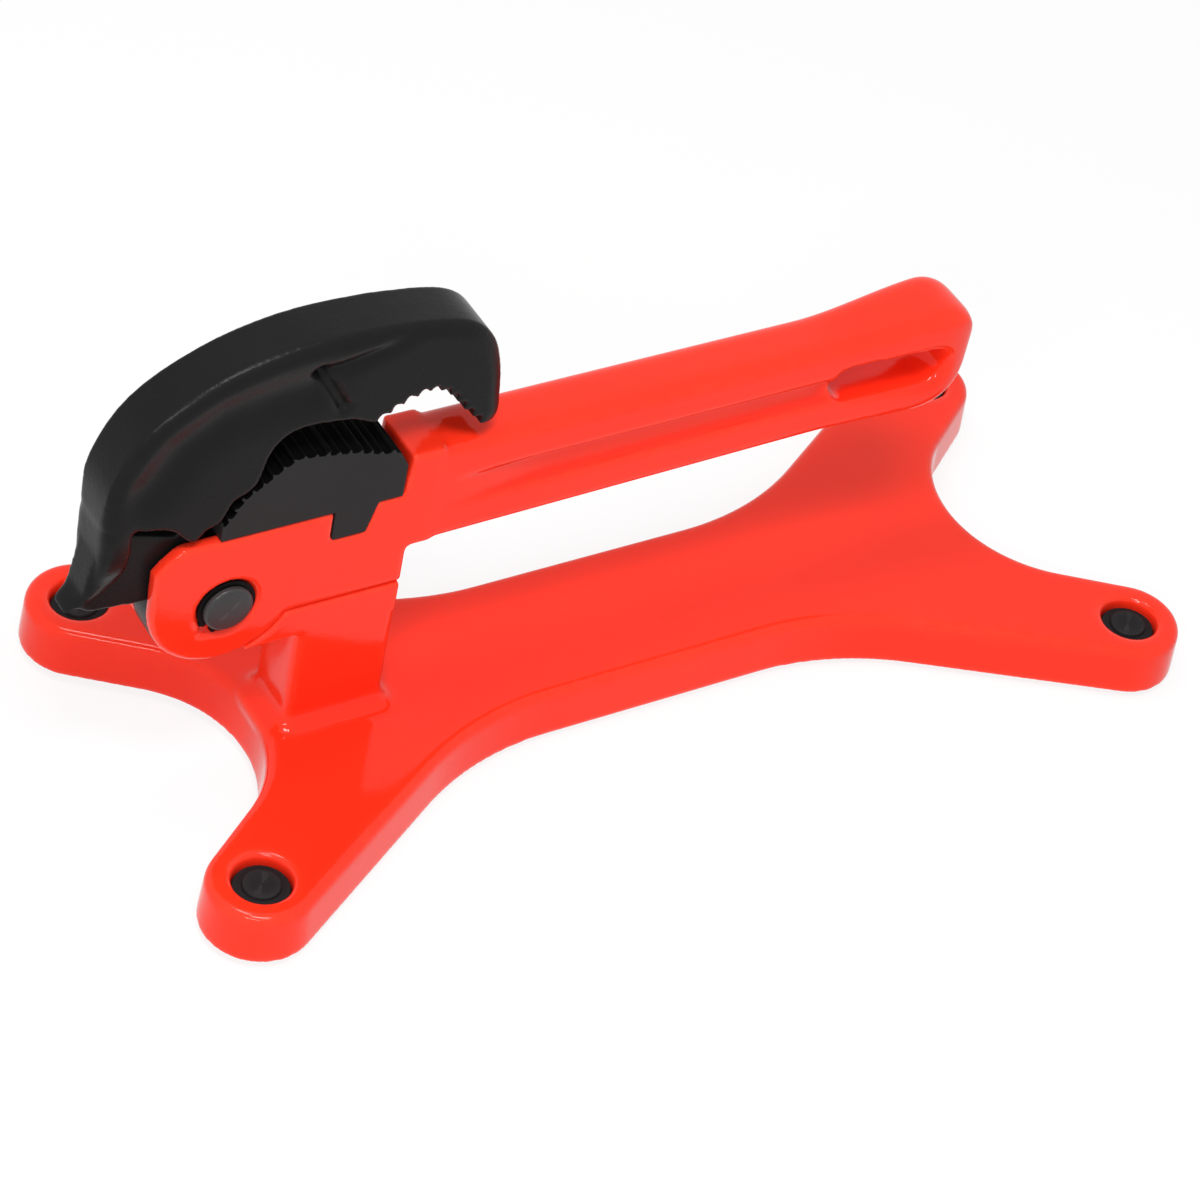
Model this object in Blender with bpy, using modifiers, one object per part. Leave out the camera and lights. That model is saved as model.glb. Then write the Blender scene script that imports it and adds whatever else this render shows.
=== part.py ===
"""Portable pipe vise: a pipe wrench's head and handle, fixed on a cast base that stands on the bench.

X runs along the base towards the handle's free end, Y across it, Z up. The origin is on the
bench, under the middle of the whole tool. The wrench's outlines are written as (u, v), where
u runs along X and v along Z from the middle of the jaw's pivot pin.
"""
import math

import bmesh
import bpy
from mathutils import Matrix, Vector

MM = 0.001

# Base: an X of four arms round a straight waist
FOOT_SPACING_X = 342 * MM
FOOT_SPACING_Y = 136 * MM
ARM_END_R = 19.2 * MM
BASE_THICK = 19.2 * MM
WAIST_HALF = 29.6 * MM
WAIST_STRAIGHT_HALF = 42 * MM
SIDE_BEND_R = 104 * MM
END_NOTCH_R = 46 * MM
END_NOTCH_FROM_MIDDLE = 142.2 * MM
BASE_EDGE_R = 3.6 * MM

# Rubber feet, pushed into the arms' holes from below
FOOT_PROUD = 2.2 * MM
FOOT_FLANGE_R = 13 * MM
FOOT_FLANGE_SEAT = 2 * MM
FOOT_HOLE_R = 9.8 * MM
FOOT_TOP_BELOW = 4 * MM
FOOT_BUTTON_R = 6.4 * MM
FOOT_BUTTON_RISE = 1.6 * MM
FOOT_CHAMFER = 0.8 * MM

# Post and saddle that carry the wrench
POST_LEFT = 27.4 * MM
POST_RIGHT = 63.2 * MM
POST_CORNER_R = 3 * MM
POST_FOOT_FILLET = 7 * MM
POST_STEP = 0.2 * MM
SADDLE_LEFT = 8.6 * MM
SADDLE_THICK = 12 * MM

# Wrench: pin place, cheeks, seat and handle
PIN_FROM_MIDDLE = 162.4 * MM
PIN_HEIGHT = 82.2 * MM
WRENCH_WIDE = 22 * MM
CHEEK_R = 26 * MM
CHEEK_CENTRE_LEFT = 0.6 * MM
CHEEK_CENTRE_UP = 3.9 * MM
CHEEK_CORNER_R = 33.5 * MM
HEAD_FOOT_DROP = 9.3 * MM
SEAT_UP = 28.6 * MM
CHEEK_GAP_HALF = 6 * MM
CHEEK_GAP_FLOOR_R = 21.5 * MM
KEYWAY_LEFT = 34.2 * MM
KEYWAY_WIDE = 12.6 * MM
KEYWAY_DEPTH = 11.6 * MM
KEYWAY_LEAN = 3 * MM
SHOULDER_FROM_PIN = 58.9 * MM
HANDLE_TOP_UP = 44.5 * MM
HANDLE_FROM_PIN = 72 * MM
HANDLE_REACH = 276.5 * MM
HANDLE_DEEP_ROOT = 38.9 * MM
HANDLE_DEEP_END = 35.3 * MM
HANDLE_EDGE_R = 2 * MM
HANDLE_STEP = 0.2 * MM
CROWN_WIDE = 7 * MM
CROWN_DROP = 4.1 * MM
UPPER_FLANGE = 13.4 * MM
LOWER_FLANGE = 12.4 * MM
WEB_RECESS = 3.6 * MM
WEB_RUN_OUT = 44 * MM
WEB_DRAFT_share = 0.3
HUMP_RISE = 4.2 * MM
END_SWELL = 2.6 * MM
SWELL_LENGTH = 56 * MM
SWELL_STEPS = 8
HANDLE_END_R = 12 * MM
UPPER_CORNER_share = 2 / 3
END_SIDE_share = 1 / 3
HANG_SLOT_LEFT = 221.5 * MM
HANG_SLOT_LENGTH = 45 * MM
HANG_SLOT_HIGH = 15 * MM
HANG_SLOT_UP = 27.4 * MM
HANG_SLOT_FLARE = 3 * MM
HANG_SLOT_FLARE_DEEP = 4.5 * MM

# Hook jaw: a wide curved claw, a narrow tongue on the pin and a thumb tab
HOOK_SPAN = 134.8 * MM
HOOK_RISE = 72 * MM
HOOK_BACK_FROM_PIN = 45.4 * MM
HOOK_LEDGE_UP = 31.2 * MM
HOOK_BACK_ROUND = 4.2 * MM
TONGUE_WIDE = 11.4 * MM
TONGUE_BOSS_R = 20.5 * MM
TONGUE_SHOULDER_R = 24.8 * MM
SHOULDER_TOP_share = 165 / 360
SHOULDER_END_share = 219 / 360
TAB_WIDE = 12.4 * MM
TAB_TIP_FROM_PIN = 53.4 * MM
TAB_TIP_UP = 9 * MM
TAB_THICK = 10.6 * MM
NOSE_RECESS = 1.2 * MM
TOOTH_PITCH = 4.1 * MM
TOOTH_DEPTH = 1.7 * MM

# Heel jaw
HEEL_RISE = 28.6 * MM

# Pivot pin and its retaining rings
PIN_R = 8.4 * MM
PIN_PROUD = 2.2 * MM
PIN_CHAMFER = 1 * MM
RING_GROOVE_DEEP = 1 * MM
RING_GROOVE_WIDE = 1.9 * MM
RING_THICK = 1.3 * MM
RING_OUTER_R = 10 * MM
RING_LUG_R = 2.1 * MM
RING_LUG_TURN_share = 230 / 360
RING_OPEN_HALF_share = 9 / 360
RING_LUG_THIN_share = 2 / 5
RING_LUG_IN_share = 0.97
RING_SINK_R = 10.8 * MM
RING_SINK_DEEP = 2.1 * MM

# Torsion spring in the tongue's recess
SPRING_WIRE = 1.6 * MM
SPRING_R = 13.2 * MM
SPRING_PITCH = 2.15 * MM
SPRING_TURNS = 2
SPRING_STEPS = 9
SPRING_RECESS_R = 16 * MM
SPRING_RECESS_DEEP = 6.6 * MM

# Fasteners inside the post
BODY_SCREW_FROM_PIN = 52 * MM
BODY_SCREW_R = 5 * MM
BODY_SCREW_HEAD_R = 8 * MM
BODY_SCREW_HEAD_HIGH = 10 * MM
BODY_SCREW_SEAT_BELOW = 24 * MM
BODY_SCREW_THREAD_IN = 16 * MM
SCREW_SOCKET_DEEP = 4.6 * MM
SOCKET_share = 0.46
WASHER_THICK = 2.2 * MM
DOWEL_FROM_PIN = 28.5 * MM
DOWEL_R = 3 * MM
DOWEL_HALF = 8 * MM
HEEL_SCREW_FROM_PIN = 39.2 * MM
HEEL_SCREW_R = 3 * MM
HEEL_SCREW_HEAD_R = 5 * MM
HEEL_SCREW_HEAD_HIGH = 6 * MM
HEEL_SCREW_THREAD_IN = 14 * MM

# Clearances
TOUCH_GAP = 0.3 * MM
SPRING_LEAST_GAP = 0.4 * MM
CUT_OVER = 3 * MM
WELD = 0.01 * MM

HALF_WIDE = WRENCH_WIDE / 2
LEFT_END = -PIN_FROM_MIDDLE - TAB_TIP_FROM_PIN
RIGHT_END = FOOT_SPACING_X / 2 + ARM_END_R
MIDDLE_X = -(LEFT_END + RIGHT_END) / 2
BASE_UNDER = FOOT_PROUD
BASE_TOP = FOOT_PROUD + BASE_THICK
PIN_X = MIDDLE_X - PIN_FROM_MIDDLE
PIN_Z = BASE_UNDER + PIN_HEIGHT
WRENCH_FOOT = PIN_Z - HEAD_FOOT_DROP
SADDLE_TOP = WRENCH_FOOT - TOUCH_GAP
SCREW_X = PIN_X + BODY_SCREW_FROM_PIN
SCREW_SEAT = SADDLE_TOP - BODY_SCREW_SEAT_BELOW


def clear_scene():
    """Removes whatever the scene holds."""
    for thing in list(bpy.data.objects):
        bpy.data.objects.remove(thing, do_unlink=True)


def new_collection(name):
    made = bpy.data.collections.new(name)
    bpy.context.scene.collection.children.link(made)
    return made


def finish(name, colour, roughness, metallic):
    """A plain Principled material."""
    made = bpy.data.materials.new(name)
    made.use_nodes = True
    shader = made.node_tree.nodes["Principled BSDF"]
    shader.inputs["Base Color"].default_value = (*colour, 1)
    shader.inputs["Roughness"].default_value = roughness
    shader.inputs["Metallic"].default_value = metallic
    return made


clear_scene()
PARTS = new_collection("portable_pipe_vise")
CUTTERS = new_collection("cutters")
RED_PAINT = finish("red_paint", (0.92, 0.045, 0.018), 0.3, 0.0)
BLACK_STEEL = finish("black_steel", (0.022, 0.022, 0.024), 0.45, 0.6)
JAW_STEEL = finish("jaw_steel", (0.035, 0.035, 0.037), 0.5, 0.6)
RUBBER = finish("rubber", (0.02, 0.02, 0.022), 0.75, 0.0)
ZINC = finish("zinc_steel", (0.5, 0.5, 0.5), 0.35, 0.9)


def add_object(name, mesh, material=None):
    """Links a mesh as a part with its material, or as a cutter with none."""
    made = bpy.data.objects.new(name, mesh)
    (PARTS if material else CUTTERS).objects.link(made)
    if material:
        mesh.materials.append(material)
    else:
        made.hide_render = True
        made.display_type = "WIRE"
    return made


def mesh_of(bm, name):
    """Turns an edit mesh into a mesh whose faces point outwards."""
    bmesh.ops.recalc_face_normals(bm, faces=bm.faces)
    mesh = bpy.data.meshes.new(name)
    bm.to_mesh(mesh)
    bm.free()
    return mesh


def in_wrench(u, v, y):
    """A point of the wrench, from its pin."""
    return Vector((PIN_X + u, y, PIN_Z + v))


def outline_mesh(name, outline, depth):
    """The flat outline as a 2D curve, extruded to the depth, with each open end capped by one face."""
    curve = bpy.data.curves.new(name, "CURVE")
    curve.dimensions = "2D"
    curve.fill_mode = "NONE"
    curve.extrude = depth / 2
    spline = curve.splines.new("POLY")
    spline.points.add(len(outline) - 1)
    for point, (a, b) in zip(spline.points, outline):
        point.co = (a, b, 0, 1)
    spline.use_cyclic_u = True
    holder = bpy.data.objects.new(name, curve)
    bpy.context.scene.collection.objects.link(holder)
    ready = holder.evaluated_get(bpy.context.evaluated_depsgraph_get())
    mesh = bpy.data.meshes.new_from_object(ready)
    bpy.data.objects.remove(holder)
    bpy.data.curves.remove(curve)
    bm = bmesh.new()
    bm.from_mesh(mesh)
    bmesh.ops.remove_doubles(bm, verts=bm.verts, dist=WELD)
    bmesh.ops.holes_fill(bm, edges=[edge for edge in bm.edges if edge.is_boundary], sides=0)
    bmesh.ops.recalc_face_normals(bm, faces=bm.faces)
    bm.to_mesh(mesh)
    bm.free()
    return mesh


def wrench_plate(name, outline, width, material=None, middle_y=0):
    """A plate that lies in the wrench's plane, from its (u, v) outline."""
    mesh = outline_mesh(name, outline, width)
    stand = Matrix.Rotation(math.pi / 2, 4, "X")
    mesh.transform(Matrix.Translation(in_wrench(0, 0, middle_y)) @ stand)
    return add_object(name, mesh, material)


def base_plate(name, outline, low, high, material=None):
    """A flat plate between two heights, from its (x, y) outline."""
    mesh = outline_mesh(name, outline, high - low)
    mesh.transform(Matrix.Translation((0, 0, (low + high) / 2)))
    return add_object(name, mesh, material)


def loft(name, rings, material=None):
    """A closed solid through rings of equally many points."""
    bm = bmesh.new()
    loops = [[bm.verts.new(point) for point in ring] for ring in rings]
    for one, two in zip(loops, loops[1:]):
        for i in range(len(one)):
            j = (i + 1) % len(one)
            bm.faces.new((one[i], one[j], two[j], two[i]))
    bm.faces.new(loops[0])
    bm.faces.new(loops[-1])
    return add_object(name, mesh_of(bm, name), material)


def cylinder(name, radius, low, high, place, along="Z", sides=32, material=None):
    """A cylinder about a line along Z or Y, between two distances from the place."""
    bm = bmesh.new()
    bmesh.ops.create_cone(bm, cap_ends=True, segments=sides, radius1=radius, radius2=radius,
                          depth=high - low)
    bmesh.ops.translate(bm, verts=bm.verts, vec=(0, 0, (low + high) / 2))
    if along == "Y":
        bmesh.ops.rotate(bm, verts=bm.verts, matrix=Matrix.Rotation(-math.pi / 2, 3, "X"))
    bmesh.ops.translate(bm, verts=bm.verts, vec=place)
    return add_object(name, mesh_of(bm, name), material)


def boolean(target, tool, operation):
    """Cuts with, or joins, another object."""
    change = target.modifiers.new(tool.name, "BOOLEAN")
    change.operation = operation
    change.object = tool
    change.solver = "EXACT"


def cut(target, *tools):
    for tool in tools:
        boolean(target, tool, "DIFFERENCE")


def join(target, *tools):
    for tool in tools:
        boolean(target, tool, "UNION")


def bevel_chosen(part, width, segments, chosen):
    """Rounds the edges that the test picks, given each edge's two ends in world space."""
    mesh = part.data
    weights = mesh.attributes.new("bevel_weight_edge", "FLOAT", "EDGE")
    for edge in mesh.edges:
        ends = [part.matrix_world @ mesh.vertices[i].co for i in edge.vertices]
        if chosen(*ends):
            weights.data[edge.index].value = 1
    change = part.modifiers.new("rounded_edges", "BEVEL")
    change.limit_method = "WEIGHT"
    change.width = width
    change.segments = segments
    change.use_clamp_overlap = True


def smooth_round(*parts):
    """Shades round sides smooth and keeps the corners sharp."""
    for part in parts:
        part.data.shade_smooth()
        part.data.set_sharp_from_angle(angle=math.radians(35))


def arc(centre, radius, start, end, steps):
    """Points along a circle's arc, both ends included, angles in degrees."""
    turn = (end - start) / steps
    angles = [math.radians(start + turn * i) for i in range(steps + 1)]
    return [(centre[0] + radius * math.cos(t), centre[1] + radius * math.sin(t)) for t in angles]


def smooth_line(points, steps):
    """A rounded line through all the points (a Catmull-Rom spline)."""
    ends = [points[0], *points, points[-1]]
    line = []
    for a, b, c, d in zip(ends, ends[1:], ends[2:], ends[3:]):
        for i in range(steps):
            t = i / steps
            line.append(tuple(
                b[k] + t * (c[k] - a[k]) / 2
                + t * t * (2 * a[k] - 5 * b[k] + 4 * c[k] - d[k]) / 2
                + t * t * t * (3 * b[k] - a[k] - 3 * c[k] + d[k]) / 2
                for k in range(2)))
    return [*line, tuple(points[-1])]


def toothed(points, pitch, depth):
    """Saw teeth along a line; their roots lie to the left of its direction."""
    lengths = [0]
    for a, b in zip(points, points[1:]):
        lengths.append(lengths[-1] + math.dist(a, b))
    count = max(1, round(lengths[-1] / pitch))
    line = []
    for i in range(2 * count + 1):
        far = lengths[-1] * i / (2 * count)
        k = max(j for j in range(len(points) - 1) if lengths[j] <= far)
        share = (far - lengths[k]) / (lengths[k + 1] - lengths[k])
        a, b = points[k], points[k + 1]
        along = (b[0] - a[0], b[1] - a[1])
        size = math.hypot(*along)
        sink = depth if i % 2 else 0
        line.append((a[0] + along[0] * share - along[1] / size * sink,
                     a[1] + along[1] * share + along[0] / size * sink))
    return line


def tangent_outline(circles, steps_per_turn):
    """The line of a belt round circles (x, y, radius, side): side 1 keeps inside, -1 outside."""
    ends = []
    for (x1, y1, r1, s1), (x2, y2, r2, s2) in zip(circles, circles[1:] + circles[:1]):
        between = math.dist((x1, y1), (x2, y2))
        heading = math.atan2(y2 - y1, x2 - x1)
        lean = math.asin((s1 * r1 - s2 * r2) / between)
        normal = heading - math.pi / 2 + lean
        ends.append(((s1 * math.cos(normal), s1 * math.sin(normal)),
                     (s2 * math.cos(normal), s2 * math.sin(normal))))
    outline = []
    for k, (x, y, radius, side) in enumerate(circles):
        start = math.atan2(ends[k - 1][1][1], ends[k - 1][1][0])
        end = math.atan2(ends[k][0][1], ends[k][0][0])
        sweep = (end - start) * side % (2 * math.pi)
        steps = max(2, round(steps_per_turn * sweep / (2 * math.pi)))
        for i in range(steps + 1):
            turn = start + side * sweep * i / steps
            outline.append((x + radius * math.cos(turn), y + radius * math.sin(turn)))
    return outline


def rounded_rectangle(low, high, radius, steps=4):
    """The outline of a rectangle with round corners."""
    corners = ((high[0], low[1], -90), (high[0], high[1], 0), (low[0], high[1], 90), (low[0], low[1], 180))
    outline = []
    for x, y, start in corners:
        inset_x = radius if x == low[0] else -radius
        inset_y = radius if y == low[1] else -radius
        outline += arc((x + inset_x, y + inset_y), radius, start, start + 90, steps)
    return outline


def feet_places():
    """The four feet, named, in the base's plan."""
    half_x, half_y = FOOT_SPACING_X / 2, FOOT_SPACING_Y / 2
    return {
        "foot_jaw_near": (MIDDLE_X - half_x, -half_y),
        "foot_jaw_far": (MIDDLE_X - half_x, half_y),
        "foot_handle_near": (MIDDLE_X + half_x, -half_y),
        "foot_handle_far": (MIDDLE_X + half_x, half_y),
    }


def base_outline():
    """The X-shaped plan: four round arm ends, two end notches and the bends into the waist."""
    half_x, half_y = FOOT_SPACING_X / 2, FOOT_SPACING_Y / 2
    bend_y = WAIST_HALF + SIDE_BEND_R
    notch_x = END_NOTCH_FROM_MIDDLE + END_NOTCH_R
    right_half = [
        (WAIST_STRAIGHT_HALF, -bend_y, SIDE_BEND_R, -1),
        (half_x, -half_y, ARM_END_R, 1),
        (notch_x, 0, END_NOTCH_R, -1),
        (half_x, half_y, ARM_END_R, 1),
        (WAIST_STRAIGHT_HALF, bend_y, SIDE_BEND_R, -1),
    ]
    left_half = [(-x, -y, radius, side) for x, y, radius, side in right_half]
    belt = [(MIDDLE_X + x, y, radius, side) for x, y, radius, side in right_half + left_half]
    return tangent_outline(belt, 36)


def make_base():
    """The casting: plate, post and saddle in one, with its holes."""
    base = base_plate("base_casting", base_outline(), BASE_UNDER, BASE_TOP, RED_PAINT)
    middle = (BASE_UNDER + BASE_TOP) / 2
    bevel_chosen(base, BASE_EDGE_R, 2, lambda a, b: min(a.z, b.z) > middle)
    join(base, make_post(), make_saddle())
    for name, (x, y) in feet_places().items():
        bore = cylinder(name + "_bore", FOOT_HOLE_R, BASE_UNDER - CUT_OVER, BASE_TOP + CUT_OVER,
                        (x, y, 0))
        seat = cylinder(name + "_seat", FOOT_FLANGE_R + TOUCH_GAP, BASE_UNDER - CUT_OVER,
                        BASE_UNDER + FOOT_FLANGE_SEAT, (x, y, 0), sides=40)
        cut(base, bore, seat)
    cut(base, *post_holes())
    return base


def post_ring(growth, z):
    """One level of the post, a step in from the saddle's faces, grown outwards by the foot fillet."""
    half_wide = HALF_WIDE - POST_STEP + growth
    low = (PIN_X + POST_LEFT - growth, -half_wide)
    high = (PIN_X + POST_RIGHT - POST_STEP + growth, half_wide)
    return [(x, y, z) for x, y in rounded_rectangle(low, high, POST_CORNER_R + growth, 3)]


def make_post():
    """The post, flared into the plate by a fillet."""
    rings = [post_ring(POST_FOOT_FILLET, BASE_TOP - POST_FOOT_FILLET / 2)]
    steps = 4
    for i in range(steps + 1):
        turn = math.pi / 2 * i / steps
        growth = POST_FOOT_FILLET * (1 - math.sin(turn))
        rings.append(post_ring(growth, BASE_TOP + POST_FOOT_FILLET * (1 - math.cos(turn))))
    rings.append(post_ring(0, SADDLE_TOP - SADDLE_THICK / 2))
    return loft("post", rings)


def make_saddle():
    """The post's head: flat under the wrench, hollowed round the cheeks at its left."""
    left, right = SADDLE_LEFT, POST_RIGHT
    top = SADDLE_TOP - PIN_Z
    under = top - SADDLE_THICK
    hollow = CHEEK_R + TOUCH_GAP
    centre = (-CHEEK_CENTRE_LEFT, CHEEK_CENTRE_UP)
    start = math.degrees(math.asin((top - centre[1]) / hollow))
    end = math.degrees(math.asin(max(-1, (under - centre[1]) / hollow)))
    end = max(end, -math.degrees(math.acos((left - centre[0]) / hollow)))
    outline = [(left, under), (right, under), (right, top), *arc(centre, hollow, start, end, 6)]
    return wrench_plate("saddle", outline, WRENCH_WIDE)


def post_holes():
    """The counterbored hole for the body screw and the hole for the dowel."""
    place = (SCREW_X, 0, 0)
    bore = cylinder("body_screw_bore", BODY_SCREW_R + TOUCH_GAP, BASE_UNDER - CUT_OVER,
                    SADDLE_TOP + CUT_OVER, place)
    well = cylinder("body_screw_well", BODY_SCREW_HEAD_R + TOUCH_GAP, BASE_UNDER - CUT_OVER,
                    SCREW_SEAT, place)
    dowel_place = (PIN_X + DOWEL_FROM_PIN, 0, 0)
    dowel = cylinder("dowel_bore_base", DOWEL_R + TOUCH_GAP, SADDLE_TOP - DOWEL_HALF - TOUCH_GAP,
                     SADDLE_TOP + CUT_OVER, dowel_place, sides=20)
    return bore, well, dowel


def make_foot(name, x, y):
    """A rubber foot: flange, plug and the button on its top, turned round its axis."""
    top = BASE_TOP - FOOT_TOP_BELOW
    plug = FOOT_HOLE_R - TOUCH_GAP
    flange_top = BASE_UNDER + FOOT_FLANGE_SEAT - TOUCH_GAP
    profile = [
        (0, top + FOOT_BUTTON_RISE),
        (FOOT_BUTTON_R - FOOT_CHAMFER, top + FOOT_BUTTON_RISE),
        (FOOT_BUTTON_R, top + FOOT_BUTTON_RISE - FOOT_CHAMFER),
        (FOOT_BUTTON_R, top),
        (plug - FOOT_CHAMFER, top),
        (plug, top - FOOT_CHAMFER),
        (plug, flange_top),
        (FOOT_FLANGE_R, flange_top),
        (FOOT_FLANGE_R, FOOT_CHAMFER),
        (FOOT_FLANGE_R - FOOT_CHAMFER, 0),
        (0, 0),
    ]
    foot = turned(name, profile, (x, y, 0), "Z", RUBBER, 32)
    smooth_round(foot)
    return foot


def turned(name, profile, place, along, material, steps):
    """A profile (radius, height) turned by a Screw modifier about a line along Z or Y."""
    mesh = bpy.data.meshes.new(name)
    mesh.from_pydata([(r, 0, h) for r, h in profile], [(i, i + 1) for i in range(len(profile) - 1)], [])
    made = add_object(name, mesh, material)
    made.location = place
    if along == "Y":
        made.rotation_euler = (math.pi / 2, 0, 0)
    screw = made.modifiers.new("turned", "SCREW")
    screw.steps = steps
    screw.render_steps = steps
    screw.use_merge_vertices = True
    screw.merge_threshold = WELD
    screw.use_smooth_shade = True
    return made


def head_outline():
    """The wrench's head from the side: cheek, seat, keyway, shoulder and the handle's root."""
    centre = (-CHEEK_CENTRE_LEFT, CHEEK_CENTRE_UP)
    foot = -HEAD_FOOT_DROP
    start = math.degrees(math.asin((foot - centre[1]) / CHEEK_R))
    cheek = arc(centre, CHEEK_R, start, -180, 16)
    corner_start = math.degrees(math.acos(-(CHEEK_R + CHEEK_CENTRE_LEFT) / CHEEK_CORNER_R))
    corner_end = 180 - math.degrees(math.asin(SEAT_UP / CHEEK_CORNER_R))
    corner = arc((0, 0), CHEEK_CORNER_R, corner_start, corner_end, 4)
    bottom = SEAT_UP - KEYWAY_DEPTH
    right = KEYWAY_LEFT + KEYWAY_WIDE
    seat = [
        (KEYWAY_LEFT, SEAT_UP),
        (KEYWAY_LEFT, bottom),
        (right, bottom),
        (right + KEYWAY_LEAN, SEAT_UP),
        (SHOULDER_FROM_PIN, SEAT_UP),
        (SHOULDER_FROM_PIN + KEYWAY_LEAN / 2, HANDLE_TOP_UP),
    ]
    under = HANDLE_TOP_UP - HANDLE_DEEP_ROOT
    root = [(HANDLE_FROM_PIN, HANDLE_TOP_UP), (HANDLE_FROM_PIN, under), (POST_RIGHT, under),
            (POST_RIGHT, foot)]
    return [*cheek, *corner, *seat, *root]


def handle_sizes(u):
    """The handle's half width, under side, top and web recess at a distance from the pin."""
    share = (u - HANDLE_FROM_PIN) / (HANDLE_REACH - HANDLE_FROM_PIN)
    deep = HANDLE_DEEP_ROOT + (HANDLE_DEEP_END - HANDLE_DEEP_ROOT) * share
    swell_start = HANDLE_REACH - HANDLE_END_R / 2 - SWELL_LENGTH
    grown = min(1, max(0, (u - swell_start) / SWELL_LENGTH))
    grown = grown * grown * (3 - 2 * grown)
    half = HALF_WIDE - HANDLE_STEP + END_SWELL * grown
    under = HANDLE_TOP_UP - deep + HANDLE_STEP
    top = HANDLE_TOP_UP - HANDLE_STEP + HUMP_RISE * grown
    recess_end = HANG_SLOT_LEFT - HANG_SLOT_FLARE
    fade = min(1, max(0, (u - HANDLE_FROM_PIN) / WEB_RUN_OUT), max(0, (recess_end - u) / WEB_RECESS / 2))
    return half, under, top, WEB_RECESS * fade


def handle_ring(u, inset=0, shrink_low=0, shrink_high=0):
    """The handle's I-shaped section, closed in at the free end by the three amounts."""
    half, under, top, recess = handle_sizes(min(u, HANDLE_REACH - HANDLE_END_R))
    kept = 1 - (shrink_low + shrink_high) / (top - under)
    half, under, top = half - inset, under + shrink_low, top - shrink_high
    r = HANDLE_EDGE_R
    upper, lower, slope = UPPER_FLANGE * kept, LOWER_FLANGE * kept, WEB_RECESS * WEB_DRAFT_share * kept
    side = [
        *[(half - r + a, under + r + b) for a, b in arc((0, 0), r, -90, 0, 2)],
        (half, under + lower),
        (half - recess, under + lower + slope),
        (half - recess, top - upper - slope),
        (half, top - upper),
        *[(half - CROWN_WIDE * (1 - a), top - CROWN_DROP * (1 - b)) for a, b in arc((0, 0), 1, 0, 90, 3)],
    ]
    both = side + [(-y, v) for y, v in reversed(side)]
    return [in_wrench(u, v, y) for y, v in both]


def make_handle():
    """The I-shaped handle, lofted to its swollen and rounded end."""
    swell_start = HANDLE_REACH - HANDLE_END_R / 2 - SWELL_LENGTH
    recess_end = HANG_SLOT_LEFT - HANG_SLOT_FLARE
    fade = 2 * WEB_RECESS
    stations = [HANDLE_FROM_PIN - CUT_OVER, HANDLE_FROM_PIN, HANDLE_FROM_PIN + WEB_RUN_OUT, swell_start]
    stations += [swell_start + SWELL_LENGTH * i / SWELL_STEPS for i in range(1, SWELL_STEPS)]
    stations += [recess_end - fade, recess_end]
    end_start = HANDLE_REACH - HANDLE_END_R
    rings = [handle_ring(u) for u in sorted(stations) if u < end_start - HANDLE_STEP]
    steps = 5
    for i in range(steps + 1):
        turn = math.pi / 2 * i / steps
        u = HANDLE_REACH - HANDLE_END_R * (1 - math.sin(turn))
        pull = 1 - math.cos(turn)
        low, high = HANDLE_END_R * pull, HANDLE_END_R * pull * UPPER_CORNER_share
        rings.append(handle_ring(u, HANDLE_END_R * pull * END_SIDE_share, low, high))
    return loft("handle", rings)


def stadium(u, v, half_length, radius, y, steps=8):
    """A round-ended slot's outline at a distance across the wrench."""
    right = arc((u + half_length, v), radius, -90, 90, steps)
    left = arc((u - half_length, v), radius, 90, 270, steps)
    return [in_wrench(a, b, y) for a, b in right + left]


def hang_slot():
    """The slot through the handle's end, flared at both faces."""
    radius = HANG_SLOT_HIGH / 2
    half_length = HANG_SLOT_LENGTH / 2 - radius
    u = HANG_SLOT_LEFT + HANG_SLOT_LENGTH / 2
    face = HALF_WIDE + END_SWELL
    throat = face - HANG_SLOT_FLARE_DEEP
    flare = HANG_SLOT_FLARE * (HANG_SLOT_FLARE_DEEP + CUT_OVER) / HANG_SLOT_FLARE_DEEP
    levels = ((-face - CUT_OVER, flare), (-throat, 0), (throat, 0), (face + CUT_OVER, flare))
    return loft("hang_slot_cut", [stadium(u, HANG_SLOT_UP, half_length, radius + g, y) for y, g in levels])


def cheek_gap_cuts():
    """The gap between the cheeks: open to the left and below, round on the right."""
    floor = CHEEK_GAP_FLOOR_R
    far = CHEEK_CORNER_R + CUT_OVER
    deep = CHEEK_R + CUT_OVER
    outline = [(-far, -deep), (floor, -deep), (floor, 0), (0, 0), (0, far), (-far, far)]
    open_side = wrench_plate("cheek_gap_open", outline, 2 * CHEEK_GAP_HALF)
    turn = cylinder("cheek_gap_round", floor, -CHEEK_GAP_HALF, CHEEK_GAP_HALF, in_wrench(0, 0, 0), "Y", 40)
    return open_side, turn


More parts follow.
